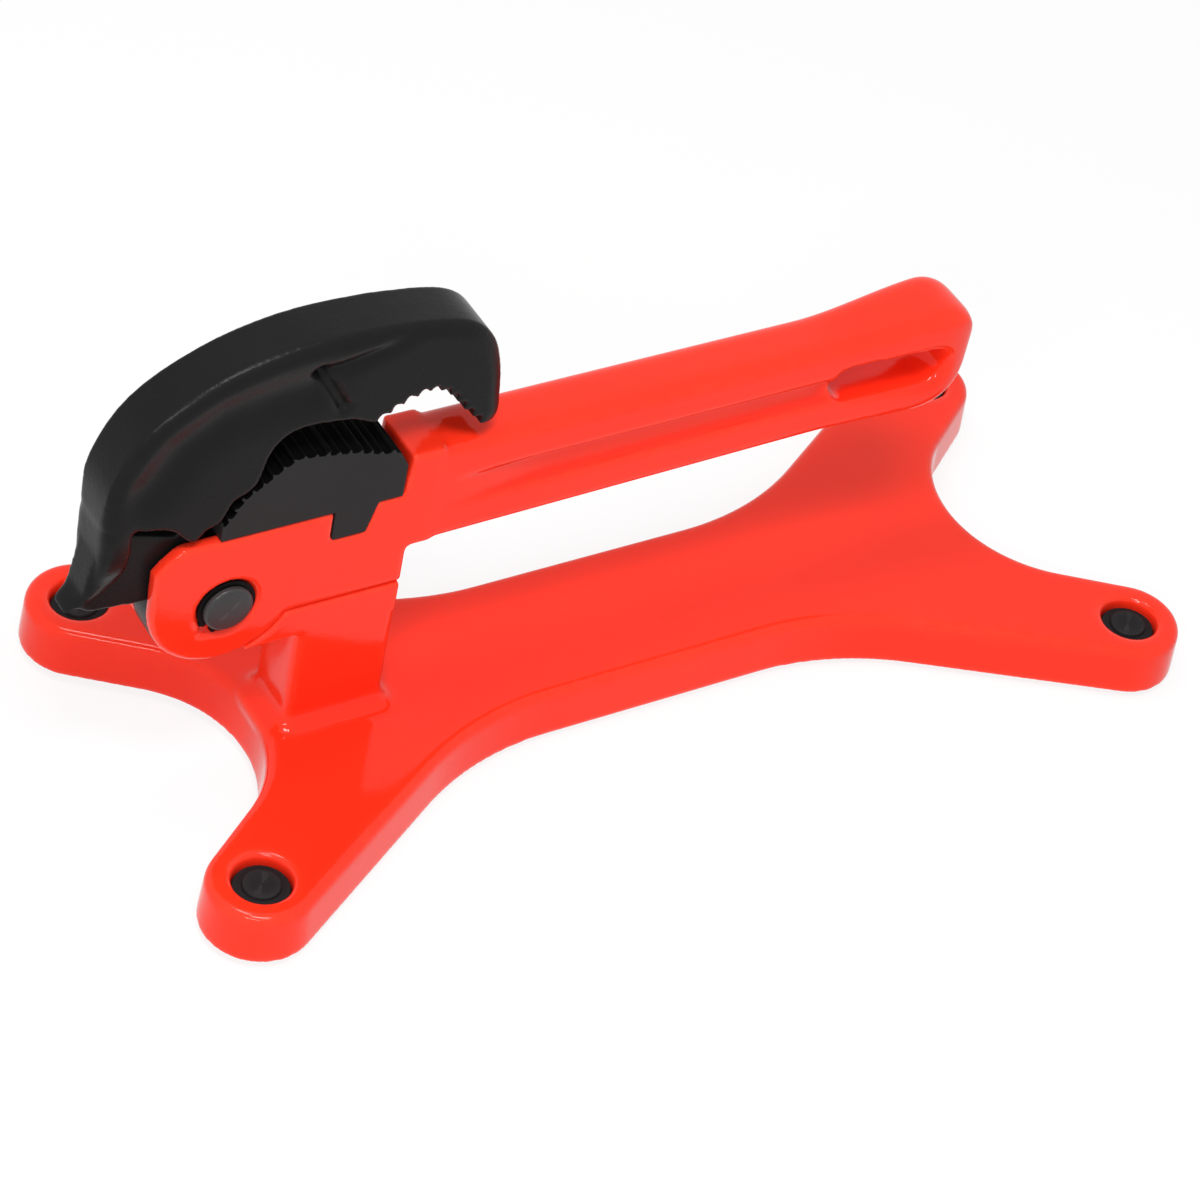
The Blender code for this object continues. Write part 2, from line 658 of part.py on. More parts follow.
def make_wrench():
    """The wrench's body: head, cheeks and handle in one forging."""
    body = wrench_plate("wrench_body", head_outline(), WRENCH_WIDE, RED_PAINT)
    join(body, make_handle())
    cut(body, *cheek_gap_cuts())
    pin = in_wrench(0, 0, 0)
    over = HALF_WIDE + CUT_OVER
    cut(body, cylinder("pin_bore", PIN_R + TOUCH_GAP, -over, over, pin, "Y", 32))
    sink_floor = HALF_WIDE - RING_SINK_DEEP
    cut(body, cylinder("ring_sink_near", RING_SINK_R, -over, -sink_floor, pin, "Y", 40),
        cylinder("ring_sink_far", RING_SINK_R, sink_floor, over, pin, "Y", 40))
    cut(body, *lug_sinks(over, sink_floor), hang_slot())
    thread_top = SADDLE_TOP + BODY_SCREW_THREAD_IN + TOUCH_GAP
    cut(body, cylinder("body_screw_thread", BODY_SCREW_R + TOUCH_GAP, SADDLE_TOP - CUT_OVER, thread_top,
                       (SCREW_X, 0, 0)))
    dowel_x = PIN_X + DOWEL_FROM_PIN
    cut(body, cylinder("dowel_bore_wrench", DOWEL_R + TOUCH_GAP, SADDLE_TOP - CUT_OVER,
                       SADDLE_TOP + DOWEL_HALF + 2 * TOUCH_GAP, (dowel_x, 0, 0), sides=20))
    cut(body, *heel_screw_cuts("wrench"))
    return body


def ring_lug_place():
    """Where the retaining ring's lugs stand, down and to the left of the pin."""
    turn = 2 * math.pi * RING_LUG_TURN_share
    return RING_OUTER_R * math.cos(turn), RING_OUTER_R * math.sin(turn)


def lug_sinks(over, floor):
    """The notches in the cheeks that hold the rings' lugs."""
    u, v = ring_lug_place()
    place = in_wrench(u, v, 0)
    radius = RING_LUG_R + 2 * TOUCH_GAP
    return (cylinder("lug_sink_near", radius, -over, -floor, place, "Y", 20),
            cylinder("lug_sink_far", radius, floor, over, place, "Y", 20))


def heel_screw_cuts(who):
    """The heel screw's well and clearance in the wrench, or its thread in the heel jaw."""
    place = (PIN_X + HEEL_SCREW_FROM_PIN, 0, 0)
    keyway_floor = PIN_Z + SEAT_UP - KEYWAY_DEPTH
    if who == "heel":
        return [cylinder("heel_screw_thread", HEEL_SCREW_R + TOUCH_GAP, keyway_floor - CUT_OVER,
                         keyway_floor + HEEL_SCREW_THREAD_IN + TOUCH_GAP, place, sides=24)]
    well = cylinder("heel_screw_well", HEEL_SCREW_HEAD_R + TOUCH_GAP, SADDLE_TOP - CUT_OVER,
                    SADDLE_TOP + HEEL_SCREW_HEAD_HIGH + 2 * TOUCH_GAP, place, sides=24)
    bore = cylinder("heel_screw_bore", HEEL_SCREW_R + TOUCH_GAP, SADDLE_TOP - CUT_OVER,
                    keyway_floor + CUT_OVER, place, sides=24)
    return [well, bore]


def cap_screw(name, radius, head_r, head_high, seat, length, x):
    """A socket head screw that points up, its head under the seat."""
    socket = head_r * SOCKET_share
    head = cylinder(name, head_r, seat - head_high, seat, (x, 0, 0), sides=28, material=ZINC)
    shank = cylinder(name + "_shank", radius, seat - head_high / 2, seat + length, (x, 0, 0), sides=24)
    hexagon = cylinder(name + "_socket", socket, seat - head_high - CUT_OVER,
                       seat - head_high + SCREW_SOCKET_DEEP, (x, 0, 0), sides=6)
    join(head, shank)
    cut(head, hexagon)
    smooth_round(head)
    return head


def make_fasteners():
    """The screws, the lock washer and the dowel that hold the wrench on the post."""
    under_washer = SCREW_SEAT - TOUCH_GAP - WASHER_THICK - TOUCH_GAP
    cap_screw("body_screw", BODY_SCREW_R, BODY_SCREW_HEAD_R, BODY_SCREW_HEAD_HIGH, under_washer,
              SADDLE_TOP + BODY_SCREW_THREAD_IN - under_washer, SCREW_X)
    washer = cylinder("lock_washer", BODY_SCREW_HEAD_R, SCREW_SEAT - TOUCH_GAP - WASHER_THICK,
                      SCREW_SEAT - TOUCH_GAP, (SCREW_X, 0, 0), sides=32, material=ZINC)
    cut(washer, cylinder("lock_washer_bore", BODY_SCREW_R + TOUCH_GAP, SCREW_SEAT - WASHER_THICK - CUT_OVER,
                         SCREW_SEAT + CUT_OVER, (SCREW_X, 0, 0), sides=24))
    dowel = cylinder("body_dowel", DOWEL_R, SADDLE_TOP - DOWEL_HALF, SADDLE_TOP + DOWEL_HALF,
                     (PIN_X + DOWEL_FROM_PIN, 0, 0), sides=20, material=ZINC)
    keyway_floor = PIN_Z + SEAT_UP - KEYWAY_DEPTH
    seat = SADDLE_TOP + HEEL_SCREW_HEAD_HIGH + TOUCH_GAP
    cap_screw("heel_jaw_screw", HEEL_SCREW_R, HEEL_SCREW_HEAD_R, HEEL_SCREW_HEAD_HIGH, seat,
              keyway_floor + HEEL_SCREW_THREAD_IN - seat, PIN_X + HEEL_SCREW_FROM_PIN)
    smooth_round(washer, dowel)


# Hook jaw outlines, as shares of its span from the back and of its rise above the ledge
HOOK_BACK_shares = ((0.0, 0.165), (0.014, 0.414), (0.098, 0.676), (0.257, 0.857), (0.443, 0.946),
                    (0.632, 0.952), (0.79, 0.92), (0.895, 0.862), (0.957, 0.745), (0.987, 0.58),
                    (1.0, 0.4), (1.003, 0.32), (0.992, 0.267))
HOOK_TEETH_shares = ((0.974, 0.278), (0.905, 0.425), (0.858, 0.527), (0.8, 0.577), (0.73, 0.543),
                     (0.675, 0.485), (0.64, 0.46))
HOOK_THROAT_shares = ((0.6, 0.495), (0.52, 0.514), (0.447, 0.505), (0.4, 0.425), (0.376, 0.27),
                      (0.35, 0.215), (0.318, 0.185), (0.292, 0.085), (0.258, 0.06))
HOOK_LEDGE_shares = ((0.231, 0.0), (0.207, 0.028), (0.181, 0.083), (0.142, 0.122), (0.06, 0.15))
NOSE_PAD_shares = ((0.6, 0.525), (0.575, 0.66), (0.7, 0.73), (0.84, 0.75), (0.93, 0.62), (0.965, 0.42),
                   (1.05, 0.4), (1.05, 0.2), (0.9, 0.2), (0.75, 0.4))
# Thumb tab sections: how far out, how far up, lean in radians, thickness, and how far narrowed
TAB_shares = ((-0.06, 1.0, 0.0, 1.0, 0.0), (-0.04, 0.72, 0.0, 1.0, 0.0), (0.0, 0.45, 0.05, 1.0, 0.3),
              (0.12, 0.29, 0.25, 1.0, 0.75), (0.5, 0.15, 0.5, 0.95, 1.0), (0.95, 0.06, 0.65, 0.85, 1.03),
              (1.0, 0.0, 0.75, 0.6, 1.1))
# Underside of the tongue between its shoulder and the tab, as shares of the back's distance from the pin
TONGUE_UNDER_shares = ((-0.66, 0.137), (-0.79, 0.159), (-0.97, 0.167), (-1.08, 0.21))
TONGUE_ROOT_shares = ((0.02, 0.2), (0.03, 0.4), (0.2, 0.55), (0.3, 0.4), (0.272, 0.1))


# Heel jaw's toothed slope, which faces the hook's throat, as shares of the hook's span and rise
HEEL_SLOPE_shares = ((0.298, 0.0715), (0.315, 0.111), (0.3385, 0.1905), (0.386, 0.254), (0.431, 0.3175),
                     (0.471, 0.3595))
# Its toothed top as shares of the way from the slope to its right end and of its rise, and its back's height
HEEL_TOP_shares = ((0.26, 0.94), (0.497, 0.88), (0.75, 0.76), (0.891, 0.72))
HEEL_BACK_share = 0.46


def hook_points(shares):
    """Places on the hook from shares of its span and rise."""
    return [(-HOOK_BACK_FROM_PIN + a * HOOK_SPAN, HOOK_LEDGE_UP + b * HOOK_RISE) for a, b in shares]


def tongue_outline():
    """The narrow tongue: boss round the pin, its shoulder, the tab's root and the claw's root."""
    right = (-TONGUE_BOSS_R * 2 / 5, HOOK_LEDGE_UP)
    boss_start = math.degrees(math.acos(right[0] / TONGUE_BOSS_R))
    shoulder_top, shoulder_end = 360 * SHOULDER_TOP_share, 360 * SHOULDER_END_share
    boss = arc((0, 0), TONGUE_BOSS_R, boss_start, shoulder_end - 360, 24)
    shoulder = arc((0, 0), TONGUE_SHOULDER_R, shoulder_end, shoulder_top, 7)
    under = [(a * HOOK_BACK_FROM_PIN, b * HOOK_BACK_FROM_PIN) for a, b in TONGUE_UNDER_shares]
    return [*boss, *shoulder, *under, *hook_points(TONGUE_ROOT_shares), right]


def tab_ring(out, up, lean, thick, narrowed):
    """One section of the thumb tab, from its shares: a rectangle with cut corners."""
    half_thick = TAB_THICK / 2 * thick
    wide, narrow = HALF_WIDE - TOUCH_GAP, TAB_WIDE / 2
    half_wide = wide + (narrow - wide) * narrowed
    cut_off = half_thick / 3
    flat = [(half_thick, half_wide - cut_off), (half_thick - cut_off, half_wide)]
    flat += [(-a, b) for a, b in reversed(flat)]
    flat += [(-a, -b) for a, b in flat]
    c, s = math.cos(lean), math.sin(lean)
    left = -HOOK_BACK_FROM_PIN - (TAB_TIP_FROM_PIN - HOOK_BACK_FROM_PIN) * out
    u = left + half_thick * c
    v = TAB_TIP_UP + (HOOK_LEDGE_UP + HOOK_RISE / 4 - TAB_TIP_UP) * up
    return [in_wrench(u + a * c, v + a * s, b) for a, b in flat]


def make_tab():
    """The thumb tab, which tapers and curls out from the claw's back."""
    return loft("thumb_tab", [tab_ring(*shares) for shares in TAB_shares])


def make_hook():
    """The hook jaw: claw, tongue and tab in one forging, with teeth at the nose."""
    back = smooth_line(hook_points(HOOK_BACK_shares), 3)
    teeth = toothed(smooth_line(hook_points(HOOK_TEETH_shares), 3), TOOTH_PITCH, TOOTH_DEPTH)
    throat = smooth_line(hook_points(HOOK_THROAT_shares), 2)
    ledge = smooth_line(hook_points(HOOK_LEDGE_shares), 2)
    outline = [*back, *teeth, *throat, *ledge]
    claw = wrench_plate("hook_jaw", outline, WRENCH_WIDE, BLACK_STEEL)
    rounded = [in_wrench(u, v, 0) for u, v in back[2:-4]]

    def on_back(a, b):
        flat = abs(a.y - b.y) < WELD
        near = all(min(math.hypot(p.x - q.x, p.z - q.z) for q in rounded) < WELD for p in (a, b))
        return flat and near

    bevel_chosen(claw, HOOK_BACK_ROUND, 3, on_back)
    tongue = wrench_plate("hook_tongue", tongue_outline(), TONGUE_WIDE)
    join(claw, tongue, make_tab())
    recess = HALF_WIDE - NOSE_RECESS
    pad = hook_points(NOSE_PAD_shares)
    middle = (recess + HALF_WIDE + CUT_OVER) / 2
    cut(claw, *[wrench_plate(f"nose_pad_{k}", pad, HALF_WIDE + CUT_OVER - recess, None, side * middle)
                for k, side in enumerate((-1, 1))])
    pin = in_wrench(0, 0, 0)
    cut(claw, cylinder("hook_bore", PIN_R + TOUCH_GAP, -HALF_WIDE, HALF_WIDE, pin, "Y", 32))
    floor = -TONGUE_WIDE / 2 + SPRING_RECESS_DEEP
    cut(claw, cylinder("spring_recess", SPRING_RECESS_R, -HALF_WIDE, floor, pin, "Y", 40))
    move_origin(claw, pin)
    return claw


def move_origin(part, place):
    """Puts a part's origin on its joint's axis without moving its shape."""
    part.data.transform(Matrix.Translation(-place))
    part.location = place


def make_heel():
    """The heel jaw, toothed on its slope and its top, with a tongue in the keyway."""
    low, right = SEAT_UP + TOUCH_GAP, SHOULDER_FROM_PIN - 2 * TOUCH_GAP
    slope = hook_points(HEEL_SLOPE_shares)
    left, crest = slope[0][0], slope[-1][0]
    top = [(crest + a * (right - crest), low + b * HEEL_RISE) for a, b in HEEL_TOP_shares]
    teeth = toothed([*slope, *top][::-1], TOOTH_PITCH, TOOTH_DEPTH)
    key_left = KEYWAY_LEFT + TOUCH_GAP
    key_right = KEYWAY_LEFT + KEYWAY_WIDE - TOUCH_GAP
    key_low = SEAT_UP - KEYWAY_DEPTH + TOUCH_GAP
    outline = [
        (left, low),
        (key_left, low),
        (key_left, key_low),
        (key_right, key_low),
        (key_right + KEYWAY_LEAN, low),
        (right, low),
        (right, low + HEEL_BACK_share * HEEL_RISE),
        *teeth,
    ]
    heel = wrench_plate("heel_jaw", outline, WRENCH_WIDE, JAW_STEEL)
    cut(heel, *heel_screw_cuts("heel"))
    return heel


def make_pin():
    """The pivot pin, chamfered, with a groove near each end for its ring."""
    half = HALF_WIDE + PIN_PROUD
    groove_in = HALF_WIDE - RING_SINK_DEEP + TOUCH_GAP / 2
    groove_out = groove_in + RING_GROOVE_WIDE
    deep = PIN_R - RING_GROOVE_DEEP
    upper = [(0, half), (PIN_R - PIN_CHAMFER, half), (PIN_R, half - PIN_CHAMFER), (PIN_R, groove_out),
             (deep, groove_out), (deep, groove_in), (PIN_R, groove_in)]
    profile = upper + [(r, -h) for r, h in reversed(upper)]
    pin = turned("pivot_pin", profile, in_wrench(0, 0, 0), "Y", BLACK_STEEL, 32)
    smooth_round(pin)
    return pin


def make_rings():
    """Two retaining rings, open at their lugs, in the pin's grooves."""
    inner = PIN_R - RING_GROOVE_DEEP + TOUCH_GAP
    u, v = ring_lug_place()
    lug_angle = math.degrees(math.atan2(v, u))
    half_open = 360 * RING_OPEN_HALF_share
    middle = HALF_WIDE - RING_SINK_DEEP + TOUCH_GAP / 2 + RING_GROOVE_WIDE / 2
    for name, side in (("retaining_ring_near", -1), ("retaining_ring_far", 1)):
        start, end = lug_angle + half_open, lug_angle + 360 - half_open
        outline = arc((0, 0), RING_OUTER_R, start, end, 36) + arc((0, 0), inner, end, start, 36)
        ring = wrench_plate(name, outline, RING_THICK, BLACK_STEEL, side * middle)
        for k, turn in enumerate((start + half_open, end - half_open)):
            angle = math.radians(turn)
            out = RING_OUTER_R * RING_LUG_IN_share
            place = in_wrench(out * math.cos(angle), out * math.sin(angle), side * middle)
            half = RING_THICK * RING_LUG_THIN_share
            join(ring, cylinder(f"{name}_lug_{k}", RING_LUG_R / 2, -half, half, place, "Y", 12))


def spring_points():
    """The torsion spring's middle line: a leg, the coils round the pin, and a leg."""
    floor = -TONGUE_WIDE / 2 + SPRING_RECESS_DEEP
    start = floor - TOUCH_GAP - SPRING_WIRE / 2
    points = []
    for i in range(SPRING_TURNS * SPRING_STEPS + 1):
        turn = 2 * math.pi * i / SPRING_STEPS
        y = start - SPRING_PITCH * i / SPRING_STEPS
        points.append(in_wrench(SPRING_R * math.cos(turn), SPRING_R * math.sin(turn), y))
    return points


def least_gap(points, wire, apart):
    """The least space between stretches of the wire that lie at least so many points apart."""
    found = min((a - b).length for i, a in enumerate(points) for b in points[i + apart:])
    return found - wire


def make_spring():
    """The torsion spring that closes the hook, one unbroken wire."""
    points = spring_points()
    gap = least_gap(points, SPRING_WIRE, SPRING_STEPS // 2)
    print(f"hook_spring least gap to itself {gap / MM:.2f} mm, wanted over {SPRING_LEAST_GAP / MM:.2f} mm")
    curve = bpy.data.curves.new("hook_spring", "CURVE")
    curve.dimensions = "3D"
    curve.bevel_depth = SPRING_WIRE / 2
    curve.bevel_resolution = 1
    curve.use_fill_caps = True
    spline = curve.splines.new("POLY")
    spline.points.add(len(points) - 1)
    for point, place in zip(spline.points, points):
        point.co = (*place, 1)
    spring = bpy.data.objects.new("hook_spring", curve)
    PARTS.objects.link(spring)
    curve.materials.append(ZINC)
    return spring


make_base()
for foot_name, (foot_x, foot_y) in feet_places().items():
    make_foot(foot_name, foot_x, foot_y)
make_wrench()
make_hook()
make_heel()
make_pin()
make_rings()
make_spring()
make_fasteners()
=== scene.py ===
"""Portable pipe vise, dressed on its frame: cast base, wrench forging, hook jaw and heel jaw.

Lengths are millimetres. The base is drawn from the middle of its plan, on the bench, and the
wrench as (u, v): u along the tool and v upwards, both from the middle of the pivot pin.
"""
import math

import bmesh
import bpy
import numpy as np
from mathutils import Matrix, Vector


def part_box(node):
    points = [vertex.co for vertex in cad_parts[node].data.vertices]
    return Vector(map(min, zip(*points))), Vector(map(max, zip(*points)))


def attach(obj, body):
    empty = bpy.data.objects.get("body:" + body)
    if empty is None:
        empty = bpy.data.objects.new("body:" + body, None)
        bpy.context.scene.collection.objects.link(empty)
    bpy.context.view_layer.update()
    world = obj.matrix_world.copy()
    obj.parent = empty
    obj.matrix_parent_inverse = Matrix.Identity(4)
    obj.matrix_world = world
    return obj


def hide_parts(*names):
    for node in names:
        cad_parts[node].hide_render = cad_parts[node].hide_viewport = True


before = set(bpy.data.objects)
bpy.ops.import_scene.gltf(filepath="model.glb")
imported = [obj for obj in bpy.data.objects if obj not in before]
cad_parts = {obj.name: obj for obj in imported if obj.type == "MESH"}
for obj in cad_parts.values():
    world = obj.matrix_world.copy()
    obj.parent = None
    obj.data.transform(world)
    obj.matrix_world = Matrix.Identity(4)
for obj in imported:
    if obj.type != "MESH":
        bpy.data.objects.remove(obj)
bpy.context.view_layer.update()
MM = 0.001

# Cast base. One iron casting: an X of four arms round a straight waist, with a post and a saddle
# that carry the wrench. The mould leaves every edge soft, and thick gloss enamel is sprayed over
# it, so the shape is drawn as solids, skinned in one surface and then rubbed soft.

pin_low, pin_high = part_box("pivot_pin")
PIN = (pin_low + pin_high) / 2 / MM
base_low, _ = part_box("base_casting")
BASE_MIDDLE_X = PIN.x + 162.4
BASE_UNDER = base_low.z / MM
BASE_TOP = BASE_UNDER + 19.2
ARM_X, ARM_Y, ARM_R = 171, 68, 19.2
WAIST_HALF, WAIST_STRAIGHT, WAIST_BEND_R = 29.6, 42, 104
NOTCH_R, NOTCH_FROM_MIDDLE = 46, 142.2
TOP_EDGE_R, DRAFT = 3.2, 1.0
HOLE_R, HOLE_MOUTH_R = 9.8, 2.2
POST_LEFT, POST_RIGHT, POST_CORNER_R, POST_FILLET = 27.4, 63.2, 2.2, 7
SADDLE_LEFT, SADDLE_TOP, SADDLE_THICK = 8.6, -9.6, 12
CHEEK_CENTRE, CHEEK_R = (-0.6, 3.9), 26
HALF_WIDE = 11
SCREW_FROM_PIN = 52
SCREW_WELL_R, SCREW_WELL_TOP = 8.3, 51.0


def arc(centre, radius, start, end, steps):
    """Points along a circle's arc, both ends included, angles in degrees."""
    angles = [math.radians(start + (end - start) * i / steps) for i in range(steps + 1)]
    return [(centre[0] + radius * math.cos(t), centre[1] + radius * math.sin(t)) for t in angles]


def belt(circles, steps_per_turn=180):
    """The line of a belt round circles (x, y, radius, side): side 1 keeps inside it, -1 outside."""
    ends = []
    for (x1, y1, r1, s1), (x2, y2, r2, s2) in zip(circles, circles[1:] + circles[:1]):
        heading = math.atan2(y2 - y1, x2 - x1)
        lean = math.asin((s1 * r1 - s2 * r2) / math.dist((x1, y1), (x2, y2)))
        normal = heading - math.pi / 2 + lean
        ends.append((normal if s1 > 0 else normal + math.pi, normal if s2 > 0 else normal + math.pi))
    line = []
    for k, (x, y, radius, side) in enumerate(circles):
        sweep = (ends[k][0] - ends[k - 1][1]) * side % (2 * math.pi)
        steps = max(3, round(steps_per_turn * sweep / (2 * math.pi)))
        for i in range(steps + 1):
            turn = ends[k - 1][1] + side * sweep * i / steps
            line.append((x + radius * math.cos(turn), y + radius * math.sin(turn)))
    return line


def solid(name, rings):
    """A closed solid through rings of equally many points, given in millimetres."""
    bm = bmesh.new()
    loops = [[bm.verts.new(Vector(point) * MM) for point in ring] for ring in rings]
    for one, two in zip(loops, loops[1:]):
        for i in range(len(one)):
            j = (i + 1) % len(one)
            bm.faces.new((one[i], one[j], two[j], two[i]))
    bm.faces.new(loops[0])
    bm.faces.new(loops[-1])
    bmesh.ops.recalc_face_normals(bm, faces=bm.faces)
    mesh = bpy.data.meshes.new(name)
    bm.to_mesh(mesh)
    bm.free()
    made = bpy.data.objects.new(name, mesh)
    bpy.context.scene.collection.objects.link(made)
    return made


def apply_all(piece):
    """Turns what a piece's modifiers make into its plain mesh."""
    ready = piece.evaluated_get(bpy.context.evaluated_depsgraph_get())
    mesh = bpy.data.meshes.new_from_object(ready)
    piece.modifiers.clear()
    piece.data = mesh
    return piece


def combine(piece, tools, operation):
    """Cuts the tools from a piece, or joins them to it, and removes them."""
    for tool in tools:
        change = piece.modifiers.new(tool.name, "BOOLEAN")
        change.operation = operation
        change.object = tool
        change.solver = "EXACT"
    apply_all(piece)
    for tool in tools:
        bpy.data.objects.remove(tool)
    return piece


def turned(name, profile, place, along="Z", sides=72):
    """A profile of (radius, height) turned about a line along Z or across the tool."""
    rings = []
    for radius, height in profile:
        ring = []
        for i in range(sides):
            turn = 2 * math.pi * i / sides
            a, b = radius * math.cos(turn), radius * math.sin(turn)
            spot = (a, b, height) if along == "Z" else (a, height, b)
            ring.append(Vector(place) + Vector(spot))
        rings.append(ring)
    return solid(name, rings)


def skinned(piece, voxel, rounds, held=None):
    """One even skin over a piece, rubbed soft."""
    skin = piece.modifiers.new("skin", "REMESH")
    skin.mode = "VOXEL"
    skin.voxel_size = voxel * MM
    skin.use_smooth_shade = True
    apply_all(piece)
    rubbed(piece, rounds, held)


def rubbed(piece, rounds, held=None):
    """Rubs a piece's points towards their neighbours; held gives each point's share of it."""
    mesh = piece.data
    spots = np.empty(len(mesh.vertices) * 3)
    mesh.vertices.foreach_get("co", spots)
    spots = spots.reshape(-1, 3)
    edges = np.empty(len(mesh.edges) * 2, dtype=np.int64)
    mesh.edges.foreach_get("vertices", edges)
    one, two = edges.reshape(-1, 2).T
    count = np.bincount(one, minlength=len(spots)) + np.bincount(two, minlength=len(spots))
    share = 0.5 if held is None else 0.5 * held(spots / MM)[:, None]
    for _ in range(rounds):
        total = np.empty_like(spots)
        for k in range(3):
            total[:, k] = (np.bincount(one, spots[two, k], len(spots))
                           + np.bincount(two, spots[one, k], len(spots)))
        spots += (total / count[:, None] - spots) * share
    mesh.vertices.foreach_set("co", spots.ravel())
    mesh.update()


def dressed(piece, body, slot, material, *nodes):
    """Gives a finished piece its finish and its place on the frame."""
    piece.data.materials.clear()
    piece.data.materials.append(material)
    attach(piece, body)
    if nodes:
        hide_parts(*nodes)


def base_line(inset):
    """The base's plan, drawn in by an even distance."""
    bend_y = WAIST_HALF + WAIST_BEND_R
    notch_x = NOTCH_FROM_MIDDLE + NOTCH_R
    right = [(WAIST_STRAIGHT, -bend_y, WAIST_BEND_R + inset, -1), (ARM_X, -ARM_Y, ARM_R - inset, 1),
             (notch_x, 0, NOTCH_R + inset, -1), (ARM_X, ARM_Y, ARM_R - inset, 1),
             (WAIST_STRAIGHT, bend_y, WAIST_BEND_R + inset, -1)]
    circles = right + [(-x, -y, radius, side) for x, y, radius, side in right]
    return belt([(BASE_MIDDLE_X + x, y, radius, side) for x, y, radius, side in circles])


def post_line(growth, height):
    """One level of the post, grown outwards by its foot's fillet."""
    low = (PIN.x + POST_LEFT - growth, -HALF_WIDE - growth)
    high = (PIN.x + POST_RIGHT + growth, HALF_WIDE + growth)
    r = POST_CORNER_R + growth
    line = []
    for x, y, start in ((high[0] - r, low[1] + r, -90), (high[0] - r, high[1] - r, 0),
                        (low[0] + r, high[1] - r, 90), (low[0] + r, low[1] + r, 180)):
        line += arc((x, y), r, start, start + 90, 8)
    return [(x, y, height) for x, y in line]


def across(line, y):
    """A (u, v) line of the wrench at a distance across the tool."""
    return [(PIN.x + u, y, PIN.z + v) for u, v in line]


levels = [(1.2, BASE_UNDER), (0.35, BASE_UNDER + 0.35), (0, BASE_UNDER + 1.2)]
levels += [(DRAFT + TOP_EDGE_R * (1 - math.cos(math.radians(t))),
            BASE_TOP - TOP_EDGE_R * (1 - math.sin(math.radians(t)))) for t in (0, 15, 30, 45, 60, 75, 90)]
base = solid("cast_base", [[(x, y, z) for x, y in base_line(inset)] for inset, z in levels])
post_levels = [post_line(POST_FILLET, BASE_TOP - 4)]
for step in range(9):
    lean = math.radians(90 * step / 8)
    post_levels.append(post_line(POST_FILLET * (1 - math.sin(lean)),
                                 BASE_TOP + POST_FILLET * (1 - math.cos(lean))))
post_levels.append(post_line(0, PIN.z + SADDLE_TOP - SADDLE_THICK / 2))
post = solid("post", post_levels)
hollow = CHEEK_R + 0.3
saddle_under = SADDLE_TOP - SADDLE_THICK
hollow_start = math.degrees(math.asin((SADDLE_TOP - CHEEK_CENTRE[1]) / hollow))
hollow_end = max(math.degrees(math.asin(max(-1, (saddle_under - CHEEK_CENTRE[1]) / hollow))),
                 -math.degrees(math.acos((SADDLE_LEFT - CHEEK_CENTRE[0]) / hollow)))
saddle_line = [(SADDLE_LEFT, saddle_under), (POST_RIGHT, saddle_under), (POST_RIGHT, SADDLE_TOP),
               *arc(CHEEK_CENTRE, hollow, hollow_start, hollow_end, 16)]
saddle = solid("saddle", [across(saddle_line, -HALF_WIDE), across(saddle_line, HALF_WIDE)])
combine(base, [post, saddle], "UNION")

mouth = [(HOLE_R + HOLE_MOUTH_R * (1 - math.cos(math.radians(t))),
          BASE_TOP - HOLE_MOUTH_R * (1 - math.sin(math.radians(t)))) for t in (0, 30, 60, 90)]
hole = [(13.3, -4), (13.3, BASE_UNDER + 2), (HOLE_R, BASE_UNDER + 2), *mouth, (13.5, BASE_TOP + 3)]
holes = [turned("foot_hole", hole, (BASE_MIDDLE_X + x, y, 0)) for x in (-ARM_X, ARM_X) for y in (-ARM_Y, ARM_Y)]
well = turned("screw_well", [(SCREW_WELL_R, -4), (SCREW_WELL_R, SCREW_WELL_TOP)],
              (PIN.x + SCREW_FROM_PIN, 0, 0))
combine(base, [*holes, well], "DIFFERENCE")
skinned(base, 1.0, 3)


def node_group(name, ins, outs):
    """A shader node group with named sockets: (name, kind, default) in, (name, kind) out."""
    group = bpy.data.node_groups.new(name, "ShaderNodeTree")
    for label, kind, default in ins:
        group.interface.new_socket(label, in_out="INPUT", socket_type=kind).default_value = default
    for label, kind in outs:
        group.interface.new_socket(label, in_out="OUTPUT", socket_type=kind)
    return group, group.nodes.new("NodeGroupInput"), group.nodes.new("NodeGroupOutput")


def node(tree, kind, links=(), **values):
    """A node with its settings, and its sockets linked or set in order of name."""
    made = tree.nodes.new(kind)
    for key, value in values.items():
        setattr(made, key, value)
    for socket, source in links:
        if isinstance(source, bpy.types.NodeSocket):
            tree.links.new(source, made.inputs[socket])
        else:
            made.inputs[socket].default_value = source
    return made


